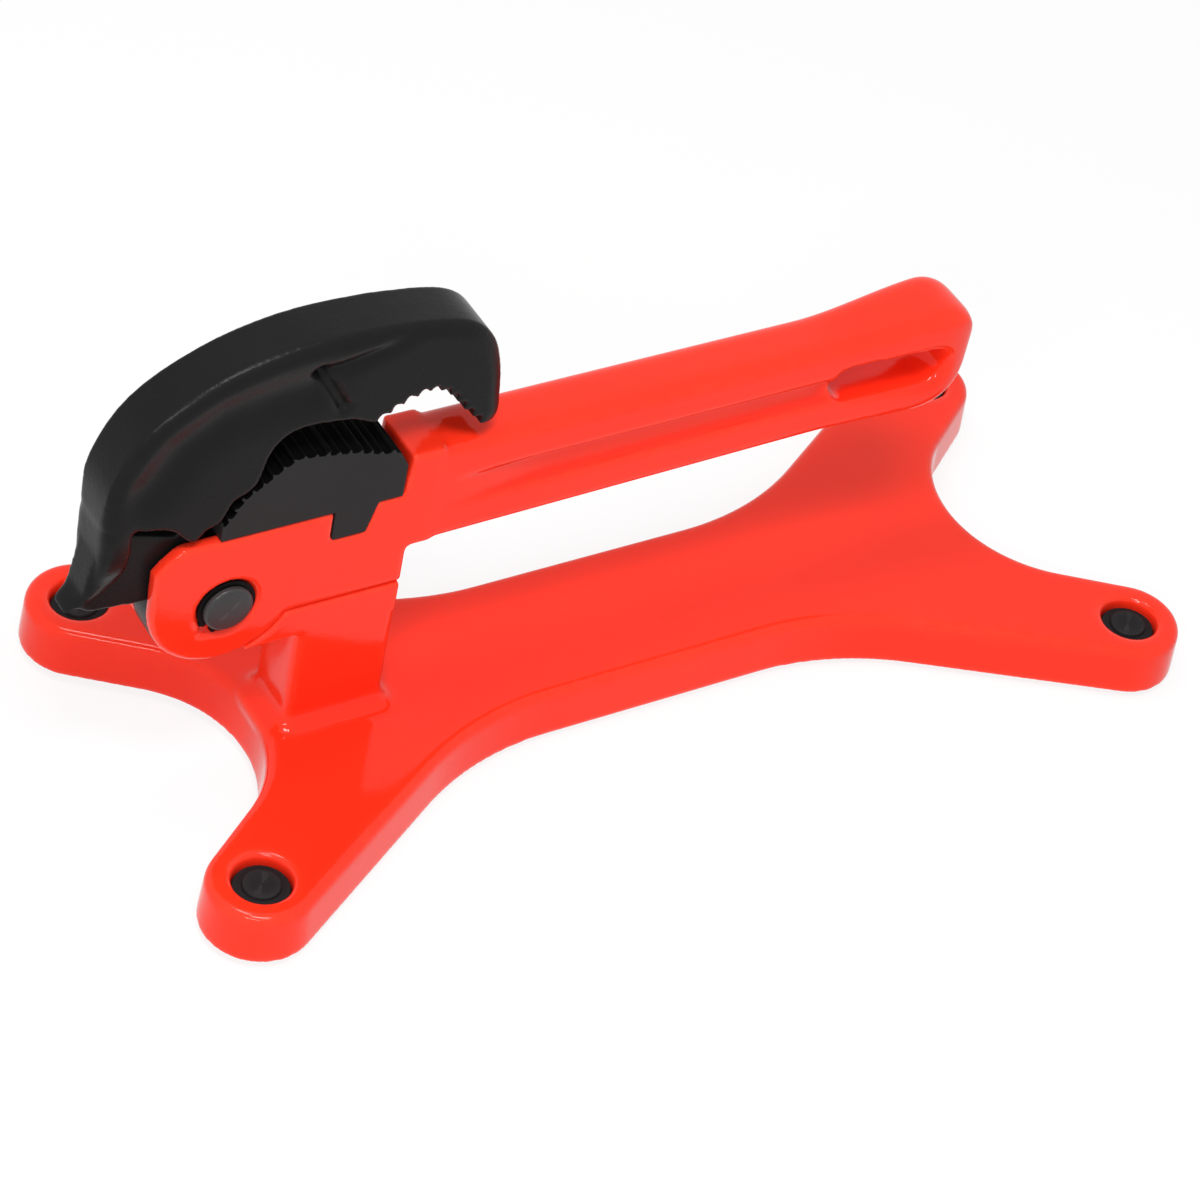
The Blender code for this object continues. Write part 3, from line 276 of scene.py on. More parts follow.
def make_curvature_masks():
    """Masks from 0 to 1: where edges stand out, broken up by a noise, and where the surface sinks into hollows."""
    group, ins, outs = node_group(
        "curvature_masks", [("Reach", "NodeSocketFloat", 0.06), ("Breakup", "NodeSocketFloat", 300)],
        [("Edge", "NodeSocketFloat"), ("Hollow", "NodeSocketFloat")])
    place = node(group, "ShaderNodeTexCoord")
    point = node(group, "ShaderNodeNewGeometry")
    specks = node(group, "ShaderNodeTexNoise", [("Vector", place.outputs["Object"]),
                                                ("Scale", ins.outputs["Breakup"]), ("Detail", 4)])
    high = node(group, "ShaderNodeMath", [(0, 0.5), (1, ins.outputs["Reach"])], operation="ADD")
    low = node(group, "ShaderNodeMath", [(0, 0.5), (1, ins.outputs["Reach"])], operation="SUBTRACT")
    stands = node(group, "ShaderNodeMapRange", [("Value", point.outputs["Pointiness"]), ("From Min", 0.5),
                                                ("From Max", high.outputs[0])])
    sinks = node(group, "ShaderNodeMapRange", [("Value", point.outputs["Pointiness"]), ("From Min", 0.5),
                                               ("From Max", low.outputs[0])])
    edge = node(group, "ShaderNodeMath", [(0, stands.outputs[0]), (1, specks.outputs["Fac"])],
                operation="MULTIPLY", use_clamp=True)
    group.links.new(edge.outputs[0], outs.inputs["Edge"])
    group.links.new(sinks.outputs[0], outs.inputs["Hollow"])
    return group


def make_enamel_skin():
    """Sprayed enamel: fine orange peel over the slow waves of the casting, and cloudy tone."""
    group, ins, outs = node_group(
        "enamel_skin", [("Peel", "NodeSocketFloat", 1.0), ("Waves", "NodeSocketFloat", 1.0)],
        [("Cloud", "NodeSocketFloat"), ("Height", "NodeSocketFloat")])
    place = node(group, "ShaderNodeTexCoord")
    where = place.outputs["Object"]
    peel = node(group, "ShaderNodeTexNoise", [("Vector", where), ("Scale", 620), ("Detail", 2)])
    waves = node(group, "ShaderNodeTexNoise", [("Vector", where), ("Scale", 75), ("Detail", 3)])
    cloud = node(group, "ShaderNodeTexNoise", [("Vector", where), ("Scale", 22), ("Detail", 5)])
    fine = node(group, "ShaderNodeMath", [(0, peel.outputs["Fac"]), (1, ins.outputs["Peel"])],
                operation="MULTIPLY")
    slow = node(group, "ShaderNodeMath", [(0, waves.outputs["Fac"]), (1, ins.outputs["Waves"])],
                operation="MULTIPLY")
    both = node(group, "ShaderNodeMath", [(0, fine.outputs[0]), (1, slow.outputs[0])], operation="ADD")
    group.links.new(both.outputs[0], outs.inputs["Height"])
    group.links.new(cloud.outputs["Fac"], outs.inputs["Cloud"])
    return group


# These masks carry painted highlight on edges and painted shade in hollows, and on the black steel some real edge wear
# as well.
CURVATURE_MASKS = make_curvature_masks()
ENAMEL_SKIN = make_enamel_skin()


def grouped(tree, group, **values):
    """A shader group placed in a material with its own values."""
    made = tree.nodes.new("ShaderNodeGroup")
    made.node_tree = group
    for key, value in values.items():
        made.inputs[key].default_value = value
    return made


def red_enamel(name, peel, waves, warmth):
    """Thick gloss red-orange enamel with a cloudy tone; painted shade deepens it in the hollows and a painted
    highlight lightens it to pink on the edges.
    """
    made = bpy.data.materials.new(name)
    made.use_nodes = True
    tree = made.node_tree
    shader = tree.nodes["Principled BSDF"]
    skin = grouped(tree, ENAMEL_SKIN, Peel=peel, Waves=waves)
    curvature = grouped(tree, CURVATURE_MASKS, Reach=0.08, Breakup=220)
    cloudy = node(tree, "ShaderNodeMix", [("Factor", skin.outputs["Cloud"]),
                                          ("A", (0.85 * warmth, 0.022, 0.007, 1)),
                                          ("B", (0.93 * warmth, 0.032, 0.010, 1))], data_type="RGBA")
    # Painted shade: a deep red darkens the hollows, where shade falls.
    hollow_shade_painted = node(tree, "ShaderNodeMix", [("Factor", curvature.outputs["Hollow"]), ("A", cloudy.outputs["Result"]),
                                          ("B", (0.6, 0.012, 0.006, 1))], data_type="RGBA")
    # Painted highlight: a pale pink lightens the edges, where the gloss would catch the light.
    edge_highlight_painted = node(tree, "ShaderNodeMix", [("Factor", curvature.outputs["Edge"]), ("A", hollow_shade_painted.outputs["Result"]),
                                           ("B", (1.0, 0.085, 0.045, 1))], data_type="RGBA")
    tree.links.new(edge_highlight_painted.outputs["Result"], shader.inputs["Base Color"])
    gloss = node(tree, "ShaderNodeMapRange", [("Value", skin.outputs["Cloud"]), ("To Min", 0.05),
                                              ("To Max", 0.14)])
    tree.links.new(gloss.outputs[0], shader.inputs["Roughness"])
    bump = node(tree, "ShaderNodeBump", [("Height", skin.outputs["Height"]), ("Strength", 0.18),
                                         ("Distance", 0.00035)])
    tree.links.new(bump.outputs[0], shader.inputs["Normal"])
    shader.inputs["Specular IOR Level"].default_value = 0.2
    return made


dressed(base, "vise", "base_paint", red_enamel("base_enamel", 0.5, 1.6, 1.0), "base_casting")

# Wrench. A drop forging painted like the base: two cheeks round the hook's tongue, a milled seat
# with a keyway for the heel jaw, and an I-shaped handle that swells round its hanging slot.

SEAT_UP, FOOT_DOWN = 28.6, -9.3
CORNER_R = 33.5
KEY_LEFT, KEY_WIDE, KEY_DEEP, KEY_LEAN = 34.2, 12.6, 11.6, 3
SHOULDER, HANDLE_TOP, HANDLE_FROM, HANDLE_REACH = 58.9, 44.5, 72, 276.5
DEEP_ROOT, DEEP_END = 38.9, 35.3
UPPER_FLANGE, LOWER_FLANGE, WEB_RECESS, WEB_RUN_OUT = 13.4, 12.4, 3.6, 44
CROWN_WIDE, CROWN_DROP, HANDLE_EDGE_R = 7, 4.1, 2.4
HUMP, SWELL, SWELL_LENGTH, END_R, LOW_END_R = 4.2, 2.6, 56, 12, 20
SLOT_U, SLOT_V, SLOT_HALF, SLOT_R = 244, 27.4, 15, 7.5
CHEEK_GAP, CHEEK_GAP_R = 6, 21.5
SINK_R, SINK_DEEP, LUG_TURN = 10.8, 2.1, 230

cheek_start = math.degrees(math.asin((FOOT_DOWN - CHEEK_CENTRE[1]) / CHEEK_R))
corner_start = math.degrees(math.acos(-(CHEEK_R - CHEEK_CENTRE[0]) / CORNER_R))
corner_end = 180 - math.degrees(math.asin(SEAT_UP / CORNER_R))
under_root = HANDLE_TOP - DEEP_ROOT
head_line = [
    *arc(CHEEK_CENTRE, CHEEK_R, cheek_start, -180, 48),
    *arc((0, 0), CORNER_R, corner_start, corner_end, 10),
    (KEY_LEFT, SEAT_UP), (KEY_LEFT, SEAT_UP - KEY_DEEP), (KEY_LEFT + KEY_WIDE, SEAT_UP - KEY_DEEP),
    (KEY_LEFT + KEY_WIDE + KEY_LEAN, SEAT_UP), (SHOULDER, SEAT_UP), (SHOULDER + KEY_LEAN / 2, HANDLE_TOP),
    (HANDLE_FROM, HANDLE_TOP), (HANDLE_FROM, under_root), (POST_RIGHT, under_root), (POST_RIGHT, FOOT_DOWN),
]
wrench = solid("wrench_forging", [across(head_line, -HALF_WIDE), across(head_line, HALF_WIDE)])


def closed_in(u, length, deep):
    """How far a side of the handle has curved in, over a length before its free end."""
    t = min(1, max(0, (u - HANDLE_REACH + length) / length))
    return deep * (1 - math.sqrt(1 - t * t))


def handle_section(u):
    """The handle's I-shaped section, which curves in at its free end."""
    reach = min(u, HANDLE_REACH - END_R)
    grown = min(1, max(0, (reach - (HANDLE_REACH - END_R / 2 - SWELL_LENGTH)) / SWELL_LENGTH))
    grown = grown * grown * (3 - 2 * grown)
    share = (reach - HANDLE_FROM) / (HANDLE_REACH - HANDLE_FROM)
    half = HALF_WIDE - 0.2 + SWELL * grown - closed_in(u, END_R, END_R / 3)
    under = HANDLE_TOP - (DEEP_ROOT + (DEEP_END - DEEP_ROOT) * share) + 0.2
    top = HANDLE_TOP - 0.2 + HUMP * grown
    tall = top - under
    under, top = under + closed_in(u, LOW_END_R, LOW_END_R * 0.85), top - closed_in(u, END_R, END_R * 2 / 3)
    kept = (top - under) / tall
    slot_left = SLOT_U - SLOT_HALF - SLOT_R + 4
    fade = min(1, max(0, (u - HANDLE_FROM) / WEB_RUN_OUT), max(0, (slot_left - u) / 9))
    fade = fade * fade * (3 - 2 * fade)
    recess, slope, r = WEB_RECESS * fade, WEB_RECESS * 0.3 * kept, HANDLE_EDGE_R
    upper, lower = UPPER_FLANGE * kept, LOWER_FLANGE * kept
    crown = [(half - CROWN_WIDE * (1 - a), top - CROWN_DROP * (1 - b)) for a, b in arc((0, 0), 1, 0, 90, 9)]
    side = [*arc((half - r, under + r), r, -90, 0, 6), (half, under + lower),
            (half - recess, under + lower + slope), (half - recess, top - upper - slope),
            (half, top - upper), *crown]
    both = side + [(-y, v) for y, v in reversed(side)]
    return [(PIN.x + u, y, PIN.z + v) for y, v in both]


stations = [HANDLE_FROM - 3, *[HANDLE_FROM + WEB_RUN_OUT * i / 10 for i in range(11)], 150]
stations += [206 + (HANDLE_REACH - END_R - 206) * i / 24 for i in range(24)]
stations += [HANDLE_REACH - END_R * (1 - math.sin(math.radians(90 * i / 14))) for i in range(15)]
sections = [handle_section(u) for u in sorted(stations)]
combine(wrench, [solid("handle", sections)], "UNION")


def slot_line(growth, y):
    """The hanging slot's outline at a distance across, grown most towards its lower right."""
    u, v, r = SLOT_U + growth * 0.25, SLOT_V - growth * 0.6, SLOT_R + growth
    right = arc((u + SLOT_HALF, v), r, -90, 90, 20)
    left = arc((u - SLOT_HALF, v), r, 90, 270, 20)
    return across(right + left, y)


face = HALF_WIDE + SWELL
flare = [(4.2 * (1 - math.cos(math.radians(t))), 4.6 * math.sin(math.radians(t))) for t in (90, 70, 50, 30, 10)]
slot_levels = [slot_line(4.2, -face - 3)] + [slot_line(g, -(face - 4.6 + d)) for g, d in flare]
slot_levels += [slot_line(g, face - 4.6 + d) for g, d in reversed(flare)] + [slot_line(4.2, face + 3)]
far = CORNER_R + 3
gap_line = [(-far, -29), (CHEEK_GAP_R, -29), (CHEEK_GAP_R, 0), (0, 0), (0, far), (-far, far)]
lug = (PIN.x + 10 * math.cos(math.radians(LUG_TURN)), 0, PIN.z + 10 * math.sin(math.radians(LUG_TURN)))
sink_floor = HALF_WIDE - SINK_DEEP
cutters = [
    solid("slot", slot_levels),
    solid("cheek_gap", [across(gap_line, -CHEEK_GAP), across(gap_line, CHEEK_GAP)]),
    turned("cheek_gap_round", [(CHEEK_GAP_R, -CHEEK_GAP), (CHEEK_GAP_R, CHEEK_GAP)], PIN, "Y"),
    turned("pin_bore", [(8.7, -15), (8.7, 15)], PIN, "Y"),
]
for low, high in ((-15, -sink_floor), (sink_floor, 15)):
    cutters.append(turned("ring_sink", [(SINK_R, low), (SINK_R, high)], PIN, "Y"))
    cutters.append(turned("lug_sink", [(2.7, low), (2.7, high)], lug, "Y", 32))
combine(wrench, cutters, "DIFFERENCE")


def wrench_held(spots):
    """The milled seat, keyway and pin sinks keep crisper edges than the forged handle."""
    u, v = spots[:, 0] - PIN.x, spots[:, 2] - PIN.z
    milled = (u < SHOULDER + 3) & (v > 12)
    round_pin = np.hypot(u, v) < 14
    return np.where(milled | round_pin, 0.45, 1.0)


skinned(wrench, 0.85, 6, held=wrench_held)
dressed(wrench, "vise", "wrench_paint", red_enamel("wrench_enamel", 0.4, 1.0, 1.0), "wrench_body")

# Hook jaw. A black oxide steel forging that swings on the pin: a wide curved claw with a soft
# back and hollowed sides, milled teeth at the nose, a narrow tongue between the cheeks and a tab
# for the thumb.

HOOK_BACK = ((0.0, 0.165), (0.014, 0.414), (0.098, 0.676), (0.257, 0.857), (0.443, 0.946), (0.632, 0.952),
             (0.79, 0.92), (0.895, 0.862), (0.957, 0.745), (0.987, 0.58), (1.0, 0.4), (1.003, 0.32),
             (0.992, 0.267))
HOOK_TEETH = ((0.974, 0.278), (0.905, 0.425), (0.858, 0.527), (0.8, 0.577), (0.73, 0.543), (0.675, 0.485),
              (0.64, 0.46))
HOOK_THROAT = ((0.6, 0.495), (0.52, 0.514), (0.447, 0.505), (0.4, 0.425), (0.376, 0.27), (0.35, 0.215),
               (0.318, 0.185), (0.292, 0.085), (0.258, 0.06))
HOOK_LEDGE = ((0.231, 0.0), (0.207, 0.028), (0.181, 0.083), (0.142, 0.122), (0.06, 0.15))
BACK_ROUND = 4.6
TOOTH_PITCH, TOOTH_DEEP = 4.9, 2.3
TONGUE_HALF = 5.7
BOSS_R, SHOULDER_R = 20.5, 24.8
BACK_FROM_PIN = 45.4
TONGUE_UNDER = ((-0.66, 0.137), (-0.79, 0.159), (-0.97, 0.167), (-1.08, 0.21))
TONGUE_ROOT = ((0.02, 0.2), (0.03, 0.4), (0.2, 0.55), (0.3, 0.4), (0.272, 0.1))
TAB = ((-0.06, 1.0, 0.0, 1.0, 0.0), (-0.04, 0.72, 0.0, 1.0, 0.0), (0.0, 0.45, 0.05, 1.0, 0.3),
       (0.12, 0.29, 0.25, 1.0, 0.75), (0.5, 0.15, 0.5, 0.95, 1.0), (0.95, 0.06, 0.65, 0.85, 1.03),
       (1.0, 0.0, 0.75, 0.6, 1.1))


def on_hook(shares):
    """Places on the hook, from shares of its span and of its rise."""
    return [(-BACK_FROM_PIN + a * 134.8, 31.2 + b * 71.9) for a, b in shares]


def flowing(points, steps=8):
    """A rounded line through all the points."""
    ends = [points[0], *points, points[-1]]
    line = []
    for a, b, c, d in zip(ends, ends[1:], ends[2:], ends[3:]):
        for i in range(steps):
            t = i / steps
            line.append(tuple(
                b[k] + t * (c[k] - a[k]) / 2 + t * t * (2 * a[k] - 5 * b[k] + 4 * c[k] - d[k]) / 2
                + t * t * t * (3 * b[k] - a[k] - 3 * c[k] + d[k]) / 2 for k in range(len(a))))
    return [*line, tuple(points[-1])]


def make_tooth_row():
    """A row of wedges across the tool, set along a line with their points to its left."""
    tree = bpy.data.node_groups.new("tooth_row", "GeometryNodeTree")
    for label, kind, default in (("Geometry", "NodeSocketGeometry", None), ("Pitch", "NodeSocketFloat", 0.004),
                                 ("Depth", "NodeSocketFloat", 0.0017), ("Wide", "NodeSocketFloat", 0.03),
                                 ("Steel", "NodeSocketMaterial", None)):
        socket = tree.interface.new_socket(label, in_out="INPUT", socket_type=kind)
        if default is not None:
            socket.default_value = default
    tree.interface.new_socket("Geometry", in_out="OUTPUT", socket_type="NodeSocketGeometry")
    ins = tree.nodes.new("NodeGroupInput")
    outs = tree.nodes.new("NodeGroupOutput")
    curve = node(tree, "GeometryNodeMeshToCurve", [("Mesh", ins.outputs["Geometry"])])
    spaced = node(tree, "GeometryNodeResampleCurve", [("Curve", curve.outputs[0]), ("Length", ins.outputs["Pitch"])],
                  mode="LENGTH")
    tangent = node(tree, "GeometryNodeInputTangent")
    turn = node(tree, "FunctionNodeAlignRotationToVector", [("Vector", tangent.outputs[0])], axis="X",
                pivot_axis="Y")
    wedge = node(tree, "GeometryNodeMeshCone", [("Vertices", 4), ("Radius Top", 0.0001), ("Radius Bottom", 1.0),
                                                ("Depth", 1.0)])
    half_pitch = node(tree, "ShaderNodeMath", [(0, ins.outputs["Pitch"]), (1, 0.72)], operation="MULTIPLY")
    size = node(tree, "ShaderNodeCombineXYZ", [("X", half_pitch.outputs[0]), ("Y", ins.outputs["Wide"]),
                                               ("Z", ins.outputs["Depth"])])
    squared = node(tree, "GeometryNodeTransform", [("Geometry", wedge.outputs["Mesh"]),
                                                   ("Rotation", (0, 0, math.pi / 4))])
    rows = node(tree, "GeometryNodeInstanceOnPoints", [
        ("Points", spaced.outputs[0]), ("Instance", squared.outputs[0]), ("Rotation", turn.outputs[0]),
        ("Scale", size.outputs[0])])
    real = node(tree, "GeometryNodeRealizeInstances", [("Geometry", rows.outputs[0])])
    painted = node(tree, "GeometryNodeSetMaterial", [("Geometry", real.outputs[0]),
                                                     ("Material", ins.outputs["Steel"])])
    tree.links.new(painted.outputs[0], outs.inputs[0])
    return tree


def inputs_set(piece, tree, **values):
    """Puts a node tree on a piece with its named inputs set, and keeps what it makes as a mesh."""
    change = piece.modifiers.new(tree.name, "NODES")
    change.node_group = tree
    for socket in tree.interface.items_tree:
        if socket.in_out == "INPUT" and socket.name in values:
            change[socket.identifier] = values[socket.name]
    return apply_all(piece)


TOOTH_ROW = make_tooth_row()


def saw_teeth(points, pitch, deep):
    """Saw teeth along a line; their points stand to the left of its direction."""
    lengths = [0.0]
    for a, b in zip(points, points[1:]):
        lengths.append(lengths[-1] + math.dist(a, b))
    count = max(1, round(lengths[-1] / pitch))
    line = []
    for i in range(4 * count + 1):
        along = lengths[-1] * i / (4 * count)
        k = max(j for j in range(len(points) - 1) if lengths[j] <= along)
        share = (along - lengths[k]) / (lengths[k + 1] - lengths[k])
        a, b = points[k], points[k + 1]
        step = (b[0] - a[0], b[1] - a[1])
        size = math.hypot(*step)
        rise = deep * (0, 0.42, 1, 0.42)[i % 4]
        line.append((a[0] + step[0] * share - step[1] / size * rise,
                     a[1] + step[1] * share + step[0] / size * rise))
    return line


back_line = flowing(on_hook(HOOK_BACK))
claw_line = [*back_line, *saw_teeth(flowing(on_hook(HOOK_TEETH)), TOOTH_PITCH, TOOTH_DEEP),
             *flowing(on_hook(HOOK_THROAT), 4), *flowing(on_hook(HOOK_LEDGE), 4)]
hook = solid("hook_forging", [across(claw_line, -HALF_WIDE), across(claw_line, HALF_WIDE)])
boss_right = (-BOSS_R * 0.4, 31.2)
tongue_line = [
    *arc((0, 0), BOSS_R, math.degrees(math.acos(-0.4)), -141, 60),
    *arc((0, 0), SHOULDER_R, 219, 165, 14),
    *[(a * BACK_FROM_PIN, b * BACK_FROM_PIN) for a, b in TONGUE_UNDER],
    *on_hook(TONGUE_ROOT), boss_right,
]
tongue = solid("tongue", [across(tongue_line, -TONGUE_HALF), across(tongue_line, TONGUE_HALF)])


def tab_section(out, up, lean, thick, narrowed):
    """One section of the thumb tab: a rectangle with round corners, leaning out."""
    half_thick = 5.3 * thick
    half_wide = 10.9 + (6.2 - 10.9) * narrowed
    r = half_thick * 0.6
    c, s = math.cos(lean), math.sin(lean)
    u = -BACK_FROM_PIN - 8 * out + half_thick * c
    v = 9 + 40.2 * up
    ring = []
    for a, b, start in ((half_thick - r, half_wide - r, 0), (r - half_thick, half_wide - r, 90),
                        (r - half_thick, r - half_wide, 180), (half_thick - r, r - half_wide, 270)):
        ring += arc((a, b), r, start, start + 90, 5)
    return [(PIN.x + u + a * c, b, PIN.z + v + a * s) for a, b in ring]


tab = solid("tab", [tab_section(*shares) for shares in flowing(TAB, 4)])
combine(hook, [tongue, tab], "UNION")
pocket_line = [(-38, 37.3), (-19, 31), (-13, 34), (-19, 41), (-29, 44.5), (-36, 42.5)]
combine(hook, [turned("hook_bore", [(8.7, -15), (8.7, 15)], PIN, "Y"),
               turned("spring_recess", [(16, -15), (16, 0.9)], PIN, "Y"),
               solid("near_pocket", [across(pocket_line, -9.5), across(pocket_line, -2.2)]),
               solid("far_pocket", [across(pocket_line, 2.2), across(pocket_line, 9.5)])], "DIFFERENCE")


def hook_held(spots):
    """The teeth and the bore keep their edges; the forged claw is rubbed soft."""
    u, v = spots[:, 0] - PIN.x, spots[:, 2] - PIN.z
    teeth = (u > 40) & (v < 76) & (v < 112 - 0.65 * u)
    return np.where(teeth | (np.hypot(u, v) < 19), 0.3, 1.0)


skinned(hook, 0.62, 3, held=hook_held)


def tab_ends(spots):
    """The tab's root in the claw, where the forging has no seam, and its rounded tip."""
    u, v = spots[:, 0] - PIN.x, spots[:, 2] - PIN.z
    root = np.hypot((u + 42) / 10, (v - 42) / 12)
    tip = np.hypot((u + 53) / 6, (v - 9) / 6)
    return np.clip(1 - np.minimum(root, tip), 0, 1) ** 0.5


rubbed(hook, 40, tab_ends)


def away(u, v, line):
    """Each point's distance from a line of (u, v) points, and how far along it lies, 0 to 1."""
    best = np.full(u.shape, 1e9)
    along = np.zeros_like(u)
    for k, (a, b) in enumerate(zip(line, line[1:])):
        du, dv = b[0] - a[0], b[1] - a[1]
        t = np.clip(((u - a[0]) * du + (v - a[1]) * dv) / (du * du + dv * dv), 0, 1)
        d = np.hypot(u - a[0] - t * du, v - a[1] - t * dv)
        nearer = d < best
        best = np.where(nearer, d, best)
        along = np.where(nearer, (k + t) / (len(line) - 1), along)
    return best, along


def sculpt_hook():
    """Rounds the claw's back, hollows its sides and marks off the nose block."""
    mesh = hook.data
    spots = np.empty(len(mesh.vertices) * 3)
    mesh.vertices.foreach_get("co", spots)
    spots = spots.reshape(-1, 3) / MM
    u, v, y = spots[:, 0] - PIN.x, spots[:, 2] - PIN.z, spots[:, 1]
    edge, _ = away(u, v, back_line[::2])
    rim = np.clip(1 - edge / (1.3 * BACK_ROUND), 0, 1)
    dent = 2.4 * rim ** 2
    side = np.clip((np.abs(y) - 8.5) / 2, 0, 1)
    web, _ = away(u, v, [(-31, 57), (-22, 70), (-8, 79), (8, 82), (20, 83)])
    dent += 2.4 * np.exp(-(web / 8) ** 2) * side
    crease, _ = away(u, v, [(22.5, 88), (27, 81), (31.5, 73)])
    dent += 2.4 * np.exp(-(crease / 2.1) ** 2) * side
    groove, along = away(u, v, [(24, 87), (43, 92), (60, 97.5)])
    dent += 2.4 * np.exp(-(groove / 2.8) ** 2) * (1 - along) * side
    reach = np.clip((np.abs(y) - 3) / 8, 0, 1)
    spots[:, 1] = y - np.sign(y) * dent * reach
    mesh.vertices.foreach_set("co", (spots * MM).ravel())
    mesh.update()


sculpt_hook()


def make_forged_grain():
    """Black steel skin: fine pitted grain, slow hammer waves and cloudy oxide."""
    group, ins, outs = node_group(
        "forged_grain", [("Grain", "NodeSocketFloat", 700), ("Pits", "NodeSocketFloat", 0.5)],
        [("Cloud", "NodeSocketFloat"), ("Height", "NodeSocketFloat")])
    place = node(group, "ShaderNodeTexCoord")
    where = place.outputs["Object"]
    grain = node(group, "ShaderNodeTexNoise", [("Vector", where), ("Scale", ins.outputs["Grain"]), ("Detail", 6),
                                               ("Roughness", 0.65)])
    pits = node(group, "ShaderNodeTexVoronoi", [("Vector", where), ("Scale", ins.outputs["Grain"])])
    waves = node(group, "ShaderNodeTexNoise", [("Vector", where), ("Scale", 110), ("Detail", 3)])
    cloud = node(group, "ShaderNodeTexNoise", [("Vector", where), ("Scale", 45), ("Detail", 6)])
    sunk = node(group, "ShaderNodeMath", [(0, pits.outputs["Distance"]), (1, ins.outputs["Pits"])],
                operation="MULTIPLY")
    slow = node(group, "ShaderNodeMath", [(0, waves.outputs["Fac"]), (1, 2.5), (2, sunk.outputs[0])],
                operation="MULTIPLY_ADD")
    both = node(group, "ShaderNodeMath", [(0, grain.outputs["Fac"]), (1, slow.outputs[0])], operation="ADD")
    group.links.new(both.outputs[0], outs.inputs["Height"])
    group.links.new(cloud.outputs["Fac"], outs.inputs["Cloud"])
    return group


FORGED_GRAIN = make_forged_grain()


def black_steel(name, tone, gloss, metal, specular, rub_and_sheen, grain=700, pits=0.5, bump=0.25):
    """Blackened steel: cloudy oxide, grain, and edges a little lighter, partly rubbed wear and partly painted sheen.
    """
    made = bpy.data.materials.new(name)
    made.use_nodes = True
    tree = made.node_tree
    shader = tree.nodes["Principled BSDF"]
    skin = grouped(tree, FORGED_GRAIN, Grain=grain, Pits=pits)
    curvature = grouped(tree, CURVATURE_MASKS, Reach=0.09, Breakup=380)
    dark, pale = tone * 0.8, tone * 1.2
    cloudy = node(tree, "ShaderNodeMix", [("Factor", skin.outputs["Cloud"]), ("A", (dark, dark, dark * 1.04, 1)),
                                          ("B", (pale, pale, pale * 1.04, 1))], data_type="RGBA")
    # The lighter edges are partly real rubbing and partly a painted sheen.
    rubbed = node(tree, "ShaderNodeMix", [("Factor", curvature.outputs["Edge"]), ("A", cloudy.outputs["Result"]),
                                          ("B", (rub_and_sheen, rub_and_sheen, rub_and_sheen * 1.02, 1))], data_type="RGBA")
    tree.links.new(rubbed.outputs["Result"], shader.inputs["Base Color"])
    rough = node(tree, "ShaderNodeMapRange", [("Value", skin.outputs["Cloud"]), ("To Min", gloss - 0.06),
                                              ("To Max", gloss + 0.08)])
    tree.links.new(rough.outputs[0], shader.inputs["Roughness"])
    raised = node(tree, "ShaderNodeBump", [("Height", skin.outputs["Height"]), ("Strength", bump),
                                           ("Distance", 0.0002)])
    tree.links.new(raised.outputs[0], shader.inputs["Normal"])
    shader.inputs["Metallic"].default_value = metal
    shader.inputs["Specular IOR Level"].default_value = specular
    return made


dressed(hook, "hook", "hook_black", black_steel("hook_black_oxide", 0.007, 0.27, 0.0, 0.1, 0.02), "hook_jaw")

# Heel jaw. A hardened steel block keyed into the wrench's seat and screwed from below. Its flat
# sides are ground and blackened, and its slope and top carry milled teeth across the full width.

HEEL_TOP = ((0.0, 0.26), (0.035, 0.36), (0.085, 0.56), (0.185, 0.72), (0.28, 0.88), (0.365, 0.985),
            (0.53, 0.94), (0.68, 0.88), (0.84, 0.76), (0.93, 0.72))
HEEL_LEFT, HEEL_LONG, HEEL_RISE = -5.2, 63.5, 28.6

heel_low = SEAT_UP + 0.3
heel_top = [(HEEL_LEFT + a * 63.8, heel_low + b * HEEL_RISE) for a, b in HEEL_TOP]
heel_right = HEEL_LEFT + HEEL_LONG
heel_line = [(HEEL_LEFT, heel_low), (KEY_LEFT + 0.3, heel_low), (KEY_LEFT + 0.3, SEAT_UP - KEY_DEEP + 0.3),
             (KEY_LEFT + KEY_WIDE - 0.3, SEAT_UP - KEY_DEEP + 0.3), (KEY_LEFT + KEY_WIDE + KEY_LEAN, heel_low),
             (heel_right, heel_low), (heel_right, heel_low + 0.46 * HEEL_RISE), *heel_top[::-1]]
heel = solid("heel_jaw_block", [across(heel_line, -HALF_WIDE), across(heel_line, HALF_WIDE)])
row_mesh = bpy.data.meshes.new("heel_teeth")
row_points = [(PIN + Vector((u, 0, v))) * MM for u, v in heel_top[::-1]]
row_mesh.from_pydata(row_points, [(i, i + 1) for i in range(len(row_points) - 1)], [])
heel_teeth = bpy.data.objects.new("heel_teeth", row_mesh)
bpy.context.scene.collection.objects.link(heel_teeth)
heel_steel = black_steel("heel_black_ground", 0.018, 0.5, 0.0, 0.12, 0.035, grain=1100, pits=0.1, bump=0.12)
inputs_set(heel_teeth, TOOTH_ROW, Pitch=0.0039, Depth=0.0027, Wide=0.03, Steel=heel_steel)
combine(heel, [heel_teeth], "DIFFERENCE")
skinned(heel, 0.45, 1)
dressed(heel, "vise", "jaw_black", heel_steel, "heel_jaw")
